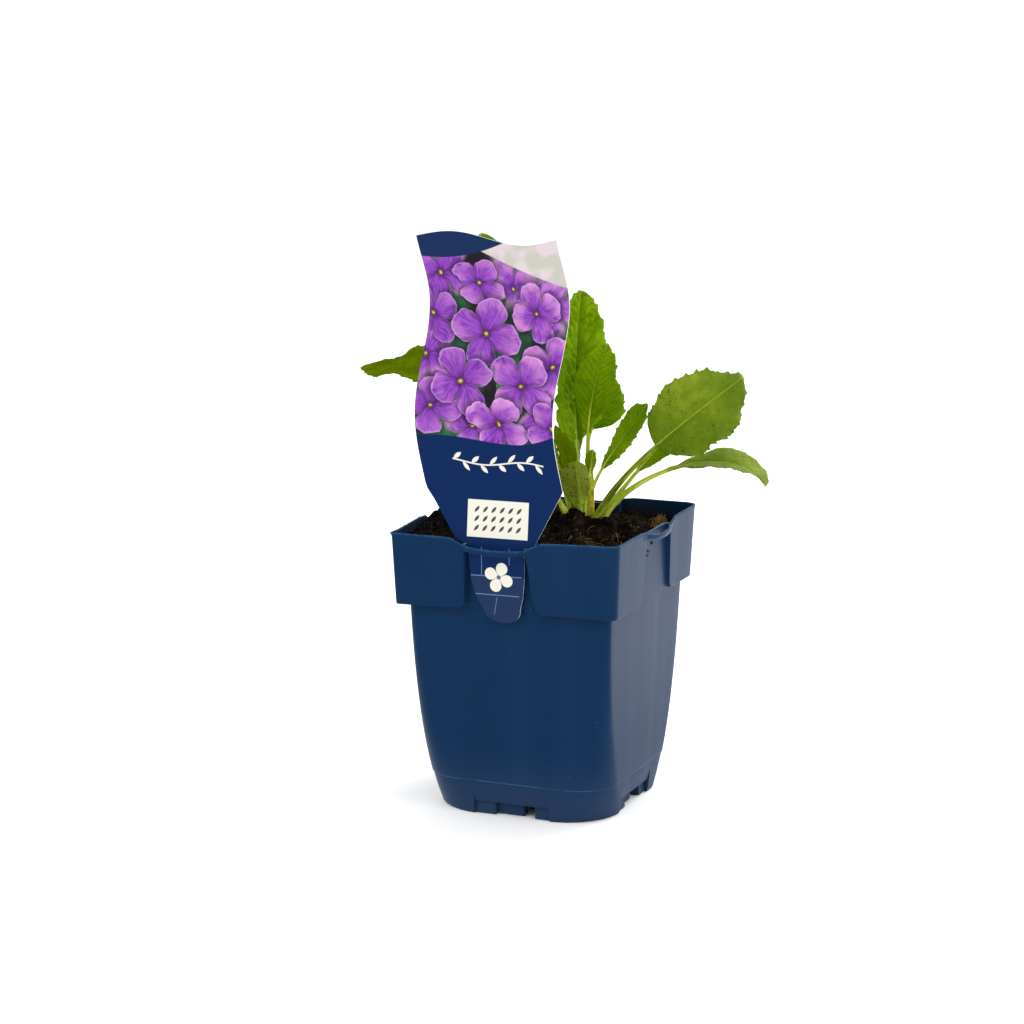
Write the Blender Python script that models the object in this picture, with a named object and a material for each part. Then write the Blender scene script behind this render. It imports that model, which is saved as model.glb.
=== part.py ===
"""Potted dames rocket: a square nursery pot with soil, a rosette of toothed leaves and a plant tag.

Metres, +Z up. The origin is the middle of the pot's foot pad, and the front of the pot faces -Y.
"""

import math
import random

import bpy
from mathutils import Matrix, Vector

# Pot
RIM_HEIGHT = 0.1335
RIM_HALF = 0.0550
RIM_RADIUS = 0.0048
LEFT_RIM_RADIUS = 0.0024
SKIRT_Z = 0.0993
SKIRT_HALF = 0.0535
BODY_HALF = 0.0493
BODY_TAPER = 0.0034
BODY_TUCK = 0.0021
TUCK_POWER = 5.6
TOP_RADIUS = 0.0043
FOOT_RADIUS_GROWTH = 0.0223
RADIUS_POWER = 2.2
PARTING_Z = 0.0162
PARTING_STEP = 0.0003
PARTING_RISE = 0.0002
FOOT_LEVEL = 0.006
INNER_FOOT_LEVEL = 0.016
BODY_LEVELS = (0.024, 0.034, 0.046, 0.062, 0.080)
WALL = 0.0011
CORNER_STEPS = 5
SMALLEST_RADIUS = 0.002

# Cutters run from a plane outside the pot's faces, and a little past its rim and its foot
OUTSIDE = 0.064
PAST = 0.004

# Pot base
PLATE_Z = 0.0064
PLATE_THICKNESS = 0.0013
NOTCH_HALF = 0.0186
NOTCH_FROM = 0.0425
NOTCH_TOP = 0.0061
RIB_THICKNESS = 0.0012
RIB_TOP = 0.0070
PAD_RADIUS = 0.010
PAD_SIDES = 20
DRAIN_RADIUS = 0.004
DRAIN_OFFSET = 0.024
DRAIN_SIDES = 10

# The walls behind a notch: from, to and distance from the pot's middle
FOOT_RIBS = ((-NOTCH_HALF, -0.0090, 0.0424), (-0.0092, 0.0040, 0.0400), (0.0110, NOTCH_HALF, 0.0420))

# The walls that run inwards from them: place, and distances from the pot's middle
FOOT_RETURNS = ((-0.0096, 0.0423, 0.0391), (0.0034, 0.0399, 0.0360), (0.0110, 0.0419, 0.0360))

# Label sockets in the skirt
SOCKET_FLOOR = 0.0500
SOCKET_CORNER = 0.004
EDGES_TOP = 0.1283
STRAP_TALL = 0.0026
STRAP_THICK = 0.0014
STRAP_BOW = 0.0030
STRAP_STEPS = 12
STRAP_SECTION = ((-0.5, -0.35), (-0.3, -0.5), (0.5, -0.5), (0.5, 0.5), (-0.3, 0.5), (-0.5, 0.35))
STRAP_CURVE = 2.4
RIM_DIP_SPREAD = 0.0042
RIM_SAG_RUN = 0.036
RIM_DIP_PLACES = (0.036, 0.020, 0.0110, 0.0080, 0.0060, 0.0045, 0.0030, 0.0015, 0.0)
RIM_SKIN = 0.0004
INNER_DIP = 0.0028

# Soil and root crown
GAP = 0.0003
SOIL_LEVEL = 0.1262
SOIL_MOUND = 0.0050
SOIL_MOUND_SPREAD = 0.020
# Heaps and hollows in the soil: height, place and how far each one spreads in X and in Y.
SOIL_HEAPS = (
    (0.0050, (-0.028, -0.004), (0.018, 0.018)),
    (0.0055, (-0.046, -0.016), (0.010, 0.013)),
    (-0.0028, (0.040, 0.036), (0.016, 0.018)),
)
SOIL_FRONT_RISE = 0.0012
SOIL_GRAIN = 0.0005
SOIL_CELLS = 19
SOIL_REACH = 0.060
CROWN_X = 0.0130
CROWN_Y = 0.0135
CROWN_TOP = 0.1300
CROWN_RADIUS = 0.0102
CROWN_ROOT_RADIUS = 0.0060
CROWN_DEPTH = 0.0120
CROWN_SIDES = 16
SOIL_SEED = 7

# Plant tag
TAG_Y = -0.0522
TAG_THICKNESS = 0.0006
TAG_HALF = 0.0334
TAG_MIDDLE_X = -0.0064
TAG_SWAY = 0.0038
TAG_SWAY_LENGTHS = (0.102, 0.080)
TAG_CREST_Z = 0.2375
TAG_TOP = 0.2670
TAG_TOP_WAVE = 0.0025
TAG_TOP_WAVE_LENGTH = 0.066
TAG_TOP_CREST_X = -0.0255
TAG_SHOULDER_Z = 0.1292
TAG_RIGHT_SHOULDER = (0.0102, 0.0142)
TAG_LEFT_SHOULDER = (-0.0226, -0.0178)
TAG_LOW_LEFT = ((-0.0374, 0.1527), (-0.0345, 0.1488))
TAG_WAIST_Z = 0.1557
TAG_SIDE_STEPS = 14
TAG_TOP_STEPS = 10
TONGUE_TIP = (-0.0001, 0.0937)
TONGUE_HALVES = (0.0137, 0.0135, 0.0128, 0.0114, 0.0091, 0.0063, 0.0031)
TONGUE_MIDDLES = (-0.0039, -0.0035, -0.0031, -0.0024, -0.0013, -0.0007, -0.0004)
TONGUE_LEVELS = (0.1250, 0.1200, 0.1120, 0.1053, 0.1000, 0.0964, 0.0943)

# Leaves
BLADE_THICKNESS = 0.0007
LEAF_SEED = 21
PETIOLE_STEPS = 6
COLUMNS = (-1.0, -0.55, 0.0, 0.55, 1.0)
STALK_DEPTH = 0.72
TIP_HALF = 0.0003
TOOTH_RANGE = (0.5, 1.2)
MARGIN_PHASE = 1.3

# Each label socket: its edges at the top and at the bottom, how deep the rim dips at each edge, how
# much of the rim sags further out, and the heights of the strap's top at its ends and its middle.
SOCKETS = {
    "front": {
        "turn": 0, "left": (-0.0188, -0.0192), "right": (0.0112, 0.0150),
        "dips": (0.0030, 0.0028), "sag": 0.0015, "strap": (0.1284, 0.1277, 0.1284),
    },
    "right": {
        "turn": 90, "left": (-0.0158, -0.0178), "right": (0.0164, 0.0188),
        "dips": (0.0006, 0.0025), "sag": 0.0, "strap": (0.1324, 0.1303, 0.1307),
    },
    "back": {
        "turn": 180, "left": (-0.0158, -0.0178), "right": (0.0164, 0.0188),
        "dips": (0.0008, 0.0014), "sag": 0.0, "strap": (0.1322, 0.1302, 0.1316),
    },
    "left": {
        "turn": 270, "left": (-0.0158, -0.0178), "right": (0.0164, 0.0188),
        "dips": (0.0018, 0.0006), "sag": 0.0, "strap": (0.1313, 0.1302, 0.1324),
    },
}

# Each leaf: seat on the crown (mm from its middle), the way it faces (degrees), how far and high its
# tip is (mm), the headings and rises at which it starts and ends, and the build of its blade.
LEAVES = {
    "leaf_01": {
        "seat": (-6.2, -3.9), "heading": -161, "reach": 96.9, "height": 70.4,
        "start": (-168, 64), "end": (-193, -10), "pull": (0.70, 0.38),
        "petiole": 2.4, "blade_from": 0.49, "width": 36.2, "shape": (0.91, 0.77),
        "roll": (41, 5), "fold": 2, "cup": 0.12, "teeth": 11, "tooth": 1.3, "wave": 1.0,
    },
    "leaf_02": {
        "seat": (-7.4, 3.6), "heading": 161, "reach": 57.6, "height": 128.5,
        "start": (163, 76), "end": (168, 76), "pull": (0.35, 0.32),
        "petiole": 2.4, "blade_from": 0.35, "width": 36.0, "shape": (0.91, 0.62),
        "roll": (0, 1), "fold": 10, "cup": 0.0, "teeth": 14, "tooth": 1.3, "wave": 1.2,
    },
    "leaf_03": {
        "seat": (-2.3, 3.3), "heading": 113, "reach": 41.2, "height": 101.3,
        "start": (132, 67), "end": (91, 74), "pull": (0.34, 0.38),
        "petiole": 2.6, "blade_from": 0.21, "width": 34.2, "shape": (0.89, 0.54),
        "roll": (-42, -42), "fold": 12, "cup": 0.15, "teeth": 14, "tooth": 1.4, "wave": 0.9,
    },
    "leaf_04": {
        "seat": (1.1, 4.3), "heading": 89, "reach": 21.5, "height": 79.1,
        "start": (128, 72), "end": (72, 56), "pull": (0.42, 0.32),
        "petiole": 2.3, "blade_from": 0.42, "width": 18.8, "shape": (0.87, 0.82),
        "roll": (-4, -3), "fold": 11, "cup": 0.0, "teeth": 8, "tooth": 1.1, "wave": 0.6,
    },
    "leaf_05": {
        "seat": (0.7, 8.1), "heading": 103, "reach": 51.7, "height": 63.9,
        "start": (112, 72), "end": (96, 66), "pull": (0.45, 0.38),
        "petiole": 2.1, "blade_from": 0.54, "width": 20.4, "shape": (0.70, 1.17),
        "roll": (-5, -5), "fold": 9, "cup": 0.0, "teeth": 7, "tooth": 0.8, "wave": 0.6,
    },
    "leaf_06": {
        "seat": (1.3, 0.6), "heading": 63, "reach": 37.5, "height": 50.4,
        "start": (61, 89), "end": (53, 49), "pull": (0.30, 0.55),
        "petiole": 2.0, "blade_from": 0.49, "width": 8.4, "shape": (1.00, 0.67),
        "roll": (-42, -42), "fold": 12, "cup": 0.0, "teeth": 8, "tooth": 1.0, "wave": 0.5,
    },
    "leaf_07": {
        "seat": (5.7, -3.3), "heading": 24, "reach": 68.8, "height": 67.6,
        "start": (29, 64), "end": (54, 29), "pull": (0.28, 0.38),
        "petiole": 2.7, "blade_from": 0.50, "width": 34.8, "shape": (0.62, 0.77),
        "roll": (-16, -104), "fold": 19, "cup": 0.56, "teeth": 12, "tooth": 1.7, "wave": 0.8,
    },
    "leaf_08": {
        "seat": (8.6, -0.4), "heading": 10, "reach": 76.4, "height": 19.2,
        "start": (3, 66), "end": (-32, -43), "pull": (0.33, 0.38),
        "petiole": 2.6, "blade_from": 0.42, "width": 21.5, "shape": (0.90, 0.70),
        "roll": (-35, -5), "fold": 19, "cup": -0.28, "teeth": 9, "tooth": 0.9, "wave": 0.5,
    },
    "leaf_09": {
        "seat": (0.0, -5.9), "heading": -67, "reach": 1.0, "drift": 2.4, "height": 28.4,
        "start": (-62, 78), "end": (171, 87), "pull": (0.33, 0.35),
        "petiole": 2.3, "blade_from": 0.23, "width": 14.6, "shape": (0.80, 0.35),
        "roll": (-8, -28), "fold": 10, "cup": 0.17, "teeth": 6, "tooth": 0.5, "wave": 0.4,
    },
    "leaf_10": {
        "seat": (1.1, -2.4), "heading": -60, "reach": -9.4, "drift": -5.0, "height": 31.5,
        "start": (-57, 84), "end": (79, 81), "pull": (0.34, 0.30),
        "petiole": 1.5, "blade_from": 0.62, "width": 4.4, "shape": (0.96, 0.68),
        "roll": (-2, -10), "fold": 16, "cup": 0.05, "teeth": 4, "tooth": 0.3, "wave": 0.2,
    },
    "leaf_11": {
        "seat": (-3.7, -1.3), "heading": 177, "reach": 10.9, "height": 43.3,
        "start": (178, 86), "end": (177, 69), "pull": (0.37, 0.37),
        "petiole": 2.3, "blade_from": 0.30, "width": 14.0, "shape": (0.89, 0.75),
        "roll": (3, 5), "fold": 8, "cup": 0.0, "teeth": 7, "tooth": 0.8, "wave": 0.4,
    },
    "leaf_12": {
        "seat": (5.5, 1.7), "heading": 40, "reach": 46.6, "height": 46.7,
        "start": (36, 48), "end": (41, 38), "pull": (0.37, 0.32),
        "petiole": 2.1, "blade_from": 0.42, "width": 15.1, "shape": (0.93, 0.69),
        "roll": (-36, -45), "fold": 14, "cup": 0.0, "teeth": 8, "tooth": 0.9, "wave": 0.5,
    },
    "leaf_13": {
        "seat": (-3.6, -6.2), "heading": -145, "reach": 46.0, "height": 84.0,
        "start": (-140, 58), "end": (-150, 58), "pull": (0.37, 0.35),
        "petiole": 2.3, "blade_from": 0.50, "width": 26.0, "shape": (0.90, 0.70),
        "roll": (0, 0), "fold": 12, "cup": 0.0, "teeth": 9, "tooth": 1.1, "wave": 0.8,
    },
    "leaf_14": {
        "seat": (-7.4, -0.2), "heading": 180, "reach": 41.0, "height": 72.0,
        "start": (180, 62), "end": (184, 70), "pull": (0.34, 0.38),
        "petiole": 2.3, "blade_from": 0.45, "width": 26.0, "shape": (0.90, 0.70),
        "roll": (0, 0), "fold": 12, "cup": 0.0, "teeth": 9, "tooth": 1.1, "wave": 0.8,
    },
    "leaf_15_yellowed": {
        "seat": (3.9, -0.6), "heading": 20, "reach": 0.5, "height": 15.0,
        "start": (20, 88), "end": (20, 84), "pull": (0.35, 0.35),
        "petiole": 1.6, "blade_from": 0.35, "width": 2.8, "shape": (0.70, 0.50),
        "roll": (0, 15), "fold": 16, "cup": 0.0, "teeth": 3, "tooth": 0.3, "wave": 0.2,
    },
}


def clear_scene():
    for item in list(bpy.data.objects):
        bpy.data.objects.remove(item, do_unlink=True)


def new_collection(name):
    collection = bpy.data.collections.new(name)
    bpy.context.scene.collection.children.link(collection)
    return collection


def new_material(name, colour, roughness, metallic=0.0):
    material = bpy.data.materials.new(name)
    material.use_nodes = True
    shader = material.node_tree.nodes["Principled BSDF"]
    shader.inputs["Base Color"].default_value = (*colour, 1.0)
    shader.inputs["Roughness"].default_value = roughness
    shader.inputs["Metallic"].default_value = metallic
    material.diffuse_color = (*colour, 1.0)
    return material


def new_object(name, points, faces, collection, material=None):
    """A closed mesh from its points and faces, with its faces turned outwards."""
    mesh = bpy.data.meshes.new(name)
    mesh.from_pydata([tuple(p) for p in points], [], faces)
    mesh.validate()
    item = bpy.data.objects.new(name, mesh)
    collection.objects.link(item)
    if signed_volume(mesh) < 0:
        mesh.flip_normals()
    if material:
        mesh.materials.append(material)
    return item


def signed_volume(mesh):
    total = 0.0
    for polygon in mesh.polygons:
        corners = [mesh.vertices[i].co for i in polygon.vertices]
        for second, third in zip(corners[1:], corners[2:]):
            total += corners[0].dot(second.cross(third))
    return total


def as_cutter(item):
    item.hide_render = True
    item.display_type = "WIRE"
    return item


def loft(name, rings, collection, material=None):
    """A solid through rings of equally many points, closed at both ends."""
    count = len(rings[0])
    points = [p for ring in rings for p in ring]
    faces = [tuple(range(count - 1, -1, -1))]
    for level in range(len(rings) - 1):
        low = level * count
        for i in range(count):
            j = (i + 1) % count
            faces.append((low + i, low + j, low + count + j, low + count + i))
    top = (len(rings) - 1) * count
    faces.append(tuple(range(top, top + count)))
    return new_object(name, points, faces, collection, material)


def box(name, low, high, collection, turn=0.0):
    """A box between two corners, turned about the pot's axis."""
    middle = [(a + b) / 2 for a, b in zip(low, high)]
    bpy.ops.mesh.primitive_cube_add(size=1)
    item = bpy.context.active_object
    item.name = name
    size = [b - a for a, b in zip(low, high)]
    place = Matrix.Rotation(math.radians(turn), 4, "Z") @ Matrix.Translation(middle)
    item.data.transform(place @ Matrix.Diagonal((*size, 1)))
    move_to(item, collection)
    return item


def cylinder(name, radius, low, high, x, y, collection, sides):
    bpy.ops.mesh.primitive_cylinder_add(vertices=sides, radius=radius, depth=high - low)
    item = bpy.context.active_object
    item.name = name
    item.data.transform(Matrix.Translation((x, y, (low + high) / 2)))
    move_to(item, collection)
    return item


def move_to(item, collection):
    for old in item.users_collection:
        old.objects.unlink(item)
    collection.objects.link(item)


def prism(name, outline, near, far, turn, collection):
    """An outline in X and Z, carried along Y from near to far, then turned about the pot's axis."""
    spin = Matrix.Rotation(math.radians(turn), 4, "Z")
    rings = [[spin @ Vector((x, y, z)) for x, z in outline] for y in (near, far)]
    return loft(name, rings, collection)


def boolean(item, operation, other):
    """A Boolean modifier with an object or a whole collection."""
    modifier = item.modifiers.new(operation.title(), "BOOLEAN")
    modifier.operation = operation
    modifier.solver = "EXACT"
    if isinstance(other, bpy.types.Collection):
        modifier.operand_type = "COLLECTION"
        modifier.collection = other
    else:
        modifier.object = other
    return modifier


def smoothed(item, angle=35.0):
    item.data.shade_smooth()
    item.data.set_sharp_from_angle(angle=math.radians(angle))


def ease(share):
    share = min(1.0, max(0.0, share))
    return share * share * (3 - 2 * share)


def square_ring(half, radii, z):
    """A square of rounded corners, anticlockwise from the front left corner's arc. One radius or four."""
    if isinstance(radii, float):
        radii = [radii] * 4
    ring = []
    for corner in range(4):
        radius = radii[corner]
        for step in range(CORNER_STEPS + 1):
            angle = math.radians(180 + 90 * corner + 90 * step / CORNER_STEPS)
            middle = math.radians(225 + 90 * corner)
            x = math.copysign(half - radius, math.cos(middle)) + radius * math.cos(angle)
            y = math.copysign(half - radius, math.sin(middle)) + radius * math.sin(angle)
            ring.append(Vector((x, y, z)))
    return ring


def body_half(z):
    down = max(0.0, 1 - z / SKIRT_Z)
    half = BODY_HALF - BODY_TAPER * down - BODY_TUCK * down**TUCK_POWER
    if z < PARTING_Z:
        half -= PARTING_STEP
    return half


def body_radius(z):
    down = max(0.0, 1 - z / SKIRT_Z)
    return TOP_RADIUS + FOOT_RADIUS_GROWTH * down**RADIUS_POWER


def skirt_half(z):
    return SKIRT_HALF + (RIM_HALF - SKIRT_HALF) * (z - SKIRT_Z) / (RIM_HEIGHT - SKIRT_Z)


def rim_radii(inset):
    """The radii of the rim's corners: the front left one is sharper than the others."""
    return [LEFT_RIM_RADIUS - inset] + [RIM_RADIUS - inset] * 3


def pot_outside(collection, material):
    levels = [0.0, FOOT_LEVEL, PARTING_Z - PARTING_RISE, PARTING_Z, *BODY_LEVELS, SKIRT_Z]
    rings = [square_ring(body_half(z), body_radius(z), z) for z in levels]
    rings.append(square_ring(SKIRT_HALF, rim_radii(0.0), SKIRT_Z))
    rings.append(square_ring(RIM_HALF, rim_radii(0.0), RIM_HEIGHT))
    return loft("pot", rings, collection, material)


def inside_rings(inset, floor, top):
    """The rings of the space in the pot, a wall and an inset in from its outside."""
    step_z = SKIRT_Z + WALL + inset
    rings = []
    for z in [floor, INNER_FOOT_LEVEL, *BODY_LEVELS, step_z]:
        radius = max(SMALLEST_RADIUS, body_radius(z) - WALL - inset)
        rings.append(square_ring(body_half(min(z, SKIRT_Z)) - WALL - inset, radius, z))
    radii = rim_radii(WALL + inset)
    rings.append(square_ring(skirt_half(step_z) - WALL - inset, radii, step_z))
    rings.append(square_ring(skirt_half(top) - WALL - inset, radii, top))
    return rings


def socket_outline(socket, grow, low, high):
    """The socket's outline on its face, widening downwards, with the panels' rounded lower corners."""
    left_top, left_low = socket["left"]
    right_top, right_low = socket["right"]
    arc = []
    for step in range(4):
        angle = math.radians(90 * step / 3)
        arc.append((SOCKET_CORNER * (1 - math.cos(angle)), SOCKET_CORNER * (1 - math.sin(angle))))
    outline = [(left_low - SOCKET_CORNER - grow, low)]
    outline += [(left_low - grow - dx, SKIRT_Z + dz) for dx, dz in reversed(arc)]
    outline += [(left_top - grow, EDGES_TOP), (left_top - grow, high)]
    outline += [(right_top + grow, high), (right_top + grow, EDGES_TOP)]
    outline += [(right_low + grow + dx, SKIRT_Z + dz) for dx, dz in arc]
    outline += [(right_low + SOCKET_CORNER + grow, low)]
    return outline


def socket_block(name, socket, grow, inner, collection):
    """The room of one socket, or with grow the room that its walls fill from outside."""
    outline = socket_outline(socket, grow, SKIRT_Z - PAST, RIM_HEIGHT + PAST)
    return prism(name, outline, -OUTSIDE, -inner, socket["turn"], collection)


def rim_dip_cutter(name, socket, near, far, collection):
    """What is taken off the rim where it sweeps down to a strap."""
    sides = []
    for key, side, deep in (("left", -1, socket["dips"][0]), ("right", 1, socket["dips"][1])):
        edge = socket[key][0]
        bottom = []
        for away in RIM_DIP_PLACES:
            dip = deep * math.exp(-(away / RIM_DIP_SPREAD)**2) + socket["sag"] * (1 - away / RIM_SAG_RUN)
            z = RIM_HEIGHT - dip + RIM_SKIN * away / RIM_SAG_RUN
            bottom.append((edge + side * (WALL + away), z))
        sides.append(bottom)
    bottom = sides[0] + sides[1][::-1]
    top = RIM_HEIGHT + PAST
    outline = bottom + [(bottom[-1][0], top), (bottom[0][0], top)]
    return prism(name, outline, near, far, socket["turn"], collection)


def inner_dip_cutter(name, socket, near, far, collection):
    """What is taken off the top of a socket's back wall."""
    low = (socket["left"][0] - WALL, -far, RIM_HEIGHT - INNER_DIP)
    high = (socket["right"][0] + WALL, -near, RIM_HEIGHT + PAST)
    return box(name, low, high, collection, socket["turn"])


def strap(name, socket, collection):
    """The bowed bar across the top of a socket, its ends sunk in the skirt."""
    left = socket["left"][0] - WALL * 0.6
    right = socket["right"][0] + WALL * 0.6
    middle = (left + right) / 2
    first_top, middle_top, last_top = socket["strap"]
    spin = Matrix.Rotation(math.radians(socket["turn"]), 4, "Z")
    seat = skirt_half(middle_top) - STRAP_THICK * 0.45
    rings = []
    for i in range(STRAP_STEPS + 1):
        x = left + (right - left) * i / STRAP_STEPS
        across = (x - middle) / (right - middle)
        y = -(seat + STRAP_BOW * (1 - across * across))
        end_top = first_top if across < 0 else last_top
        top = middle_top + (end_top - middle_top) * abs(across)**STRAP_CURVE
        ring = []
        for dy, dz in STRAP_SECTION:
            z = top - STRAP_TALL / 2 + dz * STRAP_TALL
            ring.append(spin @ Vector((x, y + dy * STRAP_THICK, z)))
        rings.append(ring)
    return loft(name, rings, collection)


def foot_ribs(turn, collection):
    """The short walls that stand behind one notch of the base."""
    for i, (left, right, away) in enumerate(FOOT_RIBS):
        box(f"rib_{turn}_{i}", (left, -away, 0.0), (right, -away + RIB_THICKNESS, RIB_TOP), collection, turn)
    for i, (left, outer, inner) in enumerate(FOOT_RETURNS):
        low = (left, -outer, 0.0)
        high = (left + RIB_THICKNESS, -inner, RIB_TOP)
        box(f"return_{turn}_{i}", low, high, collection, turn)


def pot(collection, cutters, material):
    outside = pot_outside(collection, material)
    sockets = new_collection("pot_sockets")
    blocks = new_collection("pot_socket_walls")
    cuts = new_collection("pot_cuts")
    fittings = new_collection("pot_fittings")
    space = loft("pot_space", inside_rings(0.0, PLATE_Z + PLATE_THICKNESS, RIM_HEIGHT + PAST), cutters)
    as_cutter(space)
    under = body_half(0.0) - WALL
    under_radius = body_radius(0.0) - WALL
    loft("pot_underside", [square_ring(under, under_radius, z) for z in (-PAST, PLATE_Z)], cuts)
    notch_low = (-NOTCH_HALF, -OUTSIDE, -PAST)
    notch_high = (NOTCH_HALF, -NOTCH_FROM, NOTCH_TOP)
    for side, socket in SOCKETS.items():
        turn = socket["turn"]
        socket_block(f"socket_{side}", socket, 0.0, SOCKET_FLOOR, sockets)
        socket_block(f"socket_wall_{side}", socket, WALL, SOCKET_FLOOR - WALL, blocks)
        rim_dip_cutter(f"rim_dip_{side}", socket, -OUTSIDE, -SOCKET_FLOOR - RIM_SKIN, cuts)
        inner_dip_cutter(f"inner_dip_{side}", socket, SOCKET_FLOOR - 5 * WALL, SOCKET_FLOOR + WALL, cuts)
        box(f"notch_{side}", notch_low, notch_high, cuts, turn)
        strap(f"strap_{side}", socket, fittings)
        foot_ribs(turn, fittings)
        x = DRAIN_OFFSET * math.cos(math.radians(turn))
        y = DRAIN_OFFSET * math.sin(math.radians(turn))
        cylinder(f"drain_{side}", DRAIN_RADIUS, PLATE_Z - PAST, PLATE_Z + PAST, x, y, cuts, DRAIN_SIDES)
    cylinder("foot_pad", PAD_RADIUS, 0.0, RIB_TOP, 0.0, 0.0, fittings, PAD_SIDES)
    for group in (sockets, blocks, cuts, fittings):
        for item in group.objects:
            as_cutter(item)
    boolean(space, "DIFFERENCE", blocks)
    boolean(outside, "DIFFERENCE", sockets)
    boolean(outside, "DIFFERENCE", space)
    boolean(outside, "DIFFERENCE", cuts)
    boolean(outside, "UNION", fittings)
    smoothed(outside)
    return outside


def soil_height(x, y):
    """The height of the soil: a mound round the crown, heaped a little at the left, with lumps."""
    away = math.hypot(x - CROWN_X, y - CROWN_Y)
    mound = SOIL_MOUND * math.exp(-(away / SOIL_MOUND_SPREAD)**2)
    heaps = 0.0
    for height, place, spread in SOIL_HEAPS:
        heaps += height * math.exp(-((x - place[0]) / spread[0])**2 - ((y - place[1]) / spread[1])**2)
    front = SOIL_FRONT_RISE * ease((-y - 0.010) / 0.035)
    lumps = 0.0007 * math.sin(310 * x + 1.3) * math.sin(270 * y + 0.4)
    lumps += 0.0005 * math.sin(560 * x + 190 * y) * math.cos(610 * y - 230 * x)
    return SOIL_LEVEL + mound + heaps + front + lumps


def soil_top_block(cutters):
    """A block whose lumpy top is the soil's surface, to keep only what lies below it."""
    rng = random.Random(SOIL_SEED)
    points = []
    for row in range(SOIL_CELLS + 1):
        for column in range(SOIL_CELLS + 1):
            x = -SOIL_REACH + 2 * SOIL_REACH * column / SOIL_CELLS
            y = -SOIL_REACH + 2 * SOIL_REACH * row / SOIL_CELLS
            points.append((x, y, soil_height(x, y) + rng.uniform(-SOIL_GRAIN, SOIL_GRAIN)))
    count = len(points)
    points += [(x, y, 0.0) for x, y, z in points]
    faces = []
    width = SOIL_CELLS + 1
    for row in range(SOIL_CELLS):
        for column in range(SOIL_CELLS):
            i = row * width + column
            corners = (i, i + 1, i + width + 1, i + width)
            faces.append((corners[0], corners[1], corners[2]))
            faces.append((corners[0], corners[2], corners[3]))
            faces.append(tuple(c + count for c in reversed(corners)))
    border = [(i, i + 1) for i in range(SOIL_CELLS)]
    border += [(i * width + SOIL_CELLS, (i + 1) * width + SOIL_CELLS) for i in range(SOIL_CELLS)]
    border += [(SOIL_CELLS * width + i + 1, SOIL_CELLS * width + i) for i in range(SOIL_CELLS)]
    border += [((i + 1) * width, i * width) for i in range(SOIL_CELLS)]
    faces += [(b, a, a + count, b + count) for a, b in border]
    return as_cutter(new_object("soil_top", points, faces, cutters))


def potting_soil(collection, cutters, material):
    floor = PLATE_Z + PLATE_THICKNESS + GAP
    soil = loft("potting_soil", inside_rings(GAP, floor, RIM_HEIGHT), collection, material)
    blocks = new_collection("soil_socket_walls")
    for side, socket in SOCKETS.items():
        inner = SOCKET_FLOOR - WALL - GAP
        as_cutter(socket_block(f"soil_socket_{side}", socket, WALL + GAP, inner, blocks))
    radius = CROWN_RADIUS + 1.1 * GAP
    low = CROWN_TOP - CROWN_DEPTH - GAP
    hole = cylinder("crown_hole", radius, low, RIM_HEIGHT, CROWN_X, CROWN_Y, cutters, CROWN_SIDES)
    as_cutter(hole)
    boolean(soil, "DIFFERENCE", blocks)
    boolean(soil, "INTERSECT", soil_top_block(cutters))
    boolean(soil, "DIFFERENCE", hole)
    smoothed(soil)
    return soil


def root_crown(collection, material):
    """The short stout root top that the leaves grow from, flush with the soil."""
    profile = (
        (CROWN_ROOT_RADIUS, CROWN_TOP - CROWN_DEPTH),
        (CROWN_RADIUS * 0.86, CROWN_TOP - CROWN_DEPTH * 0.6),
        (CROWN_RADIUS, CROWN_TOP - CROWN_DEPTH * 0.22),
        (CROWN_RADIUS * 0.96, CROWN_TOP),
    )
    rings = []
    for radius, z in profile:
        ring = []
        for i in range(CROWN_SIDES):
            angle = 2 * math.pi * i / CROWN_SIDES
            ring.append((CROWN_X + radius * math.cos(angle), CROWN_Y + radius * math.sin(angle), z))
        rings.append(ring)
    crown = loft("root_crown", rings, collection, material)
    smoothed(crown)
    return crown


def direction(heading, rise):
    flat = math.cos(math.radians(rise))
    x = math.cos(math.radians(heading)) * flat
    y = math.sin(math.radians(heading)) * flat
    return Vector((x, y, math.sin(math.radians(rise))))


def leaf_base(leaf):
    """The middle of a leaf's foot, just clear of the crown."""
    x = CROWN_X + leaf["seat"][0] / 1000
    y = CROWN_Y + leaf["seat"][1] / 1000
    return Vector((x, y, CROWN_TOP + GAP))


def midrib(leaf, share):
    """The point and the direction of the midrib at a share of its run from the crown to the tip."""
    base = leaf_base(leaf)
    tip = base + direction(leaf["heading"], 0) * leaf["reach"] / 1000
    tip += direction(leaf["heading"] - 90, 0) * leaf.get("drift", 0.0) / 1000
    tip.z += leaf["height"] / 1000
    span = (tip - base).length
    first = base + direction(*leaf["start"]) * span * leaf["pull"][0]
    second = tip - direction(*leaf["end"]) * span * leaf["pull"][1]
    rest = 1 - share
    point = rest**3 * base + 3 * rest**2 * share * first + 3 * rest * share**2 * second + share**3 * tip
    along = rest**2 * (first - base) + 2 * rest * share * (second - first) + share**2 * (tip - second)
    return point, along.normalized()


def blade_half(leaf, share):
    """Half the blade's width at a share of the leaf's run, in metres and without its petiole."""
    run = (share - leaf["blade_from"]) / (1 - leaf["blade_from"])
    if run <= 0 or run >= 1:
        return 0.0
    rise, fall = leaf["shape"]
    widest = (rise / (rise + fall))**rise * (fall / (rise + fall))**fall
    return 0.0005 * leaf["width"] * run**rise * (1 - run)**fall / widest


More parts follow.
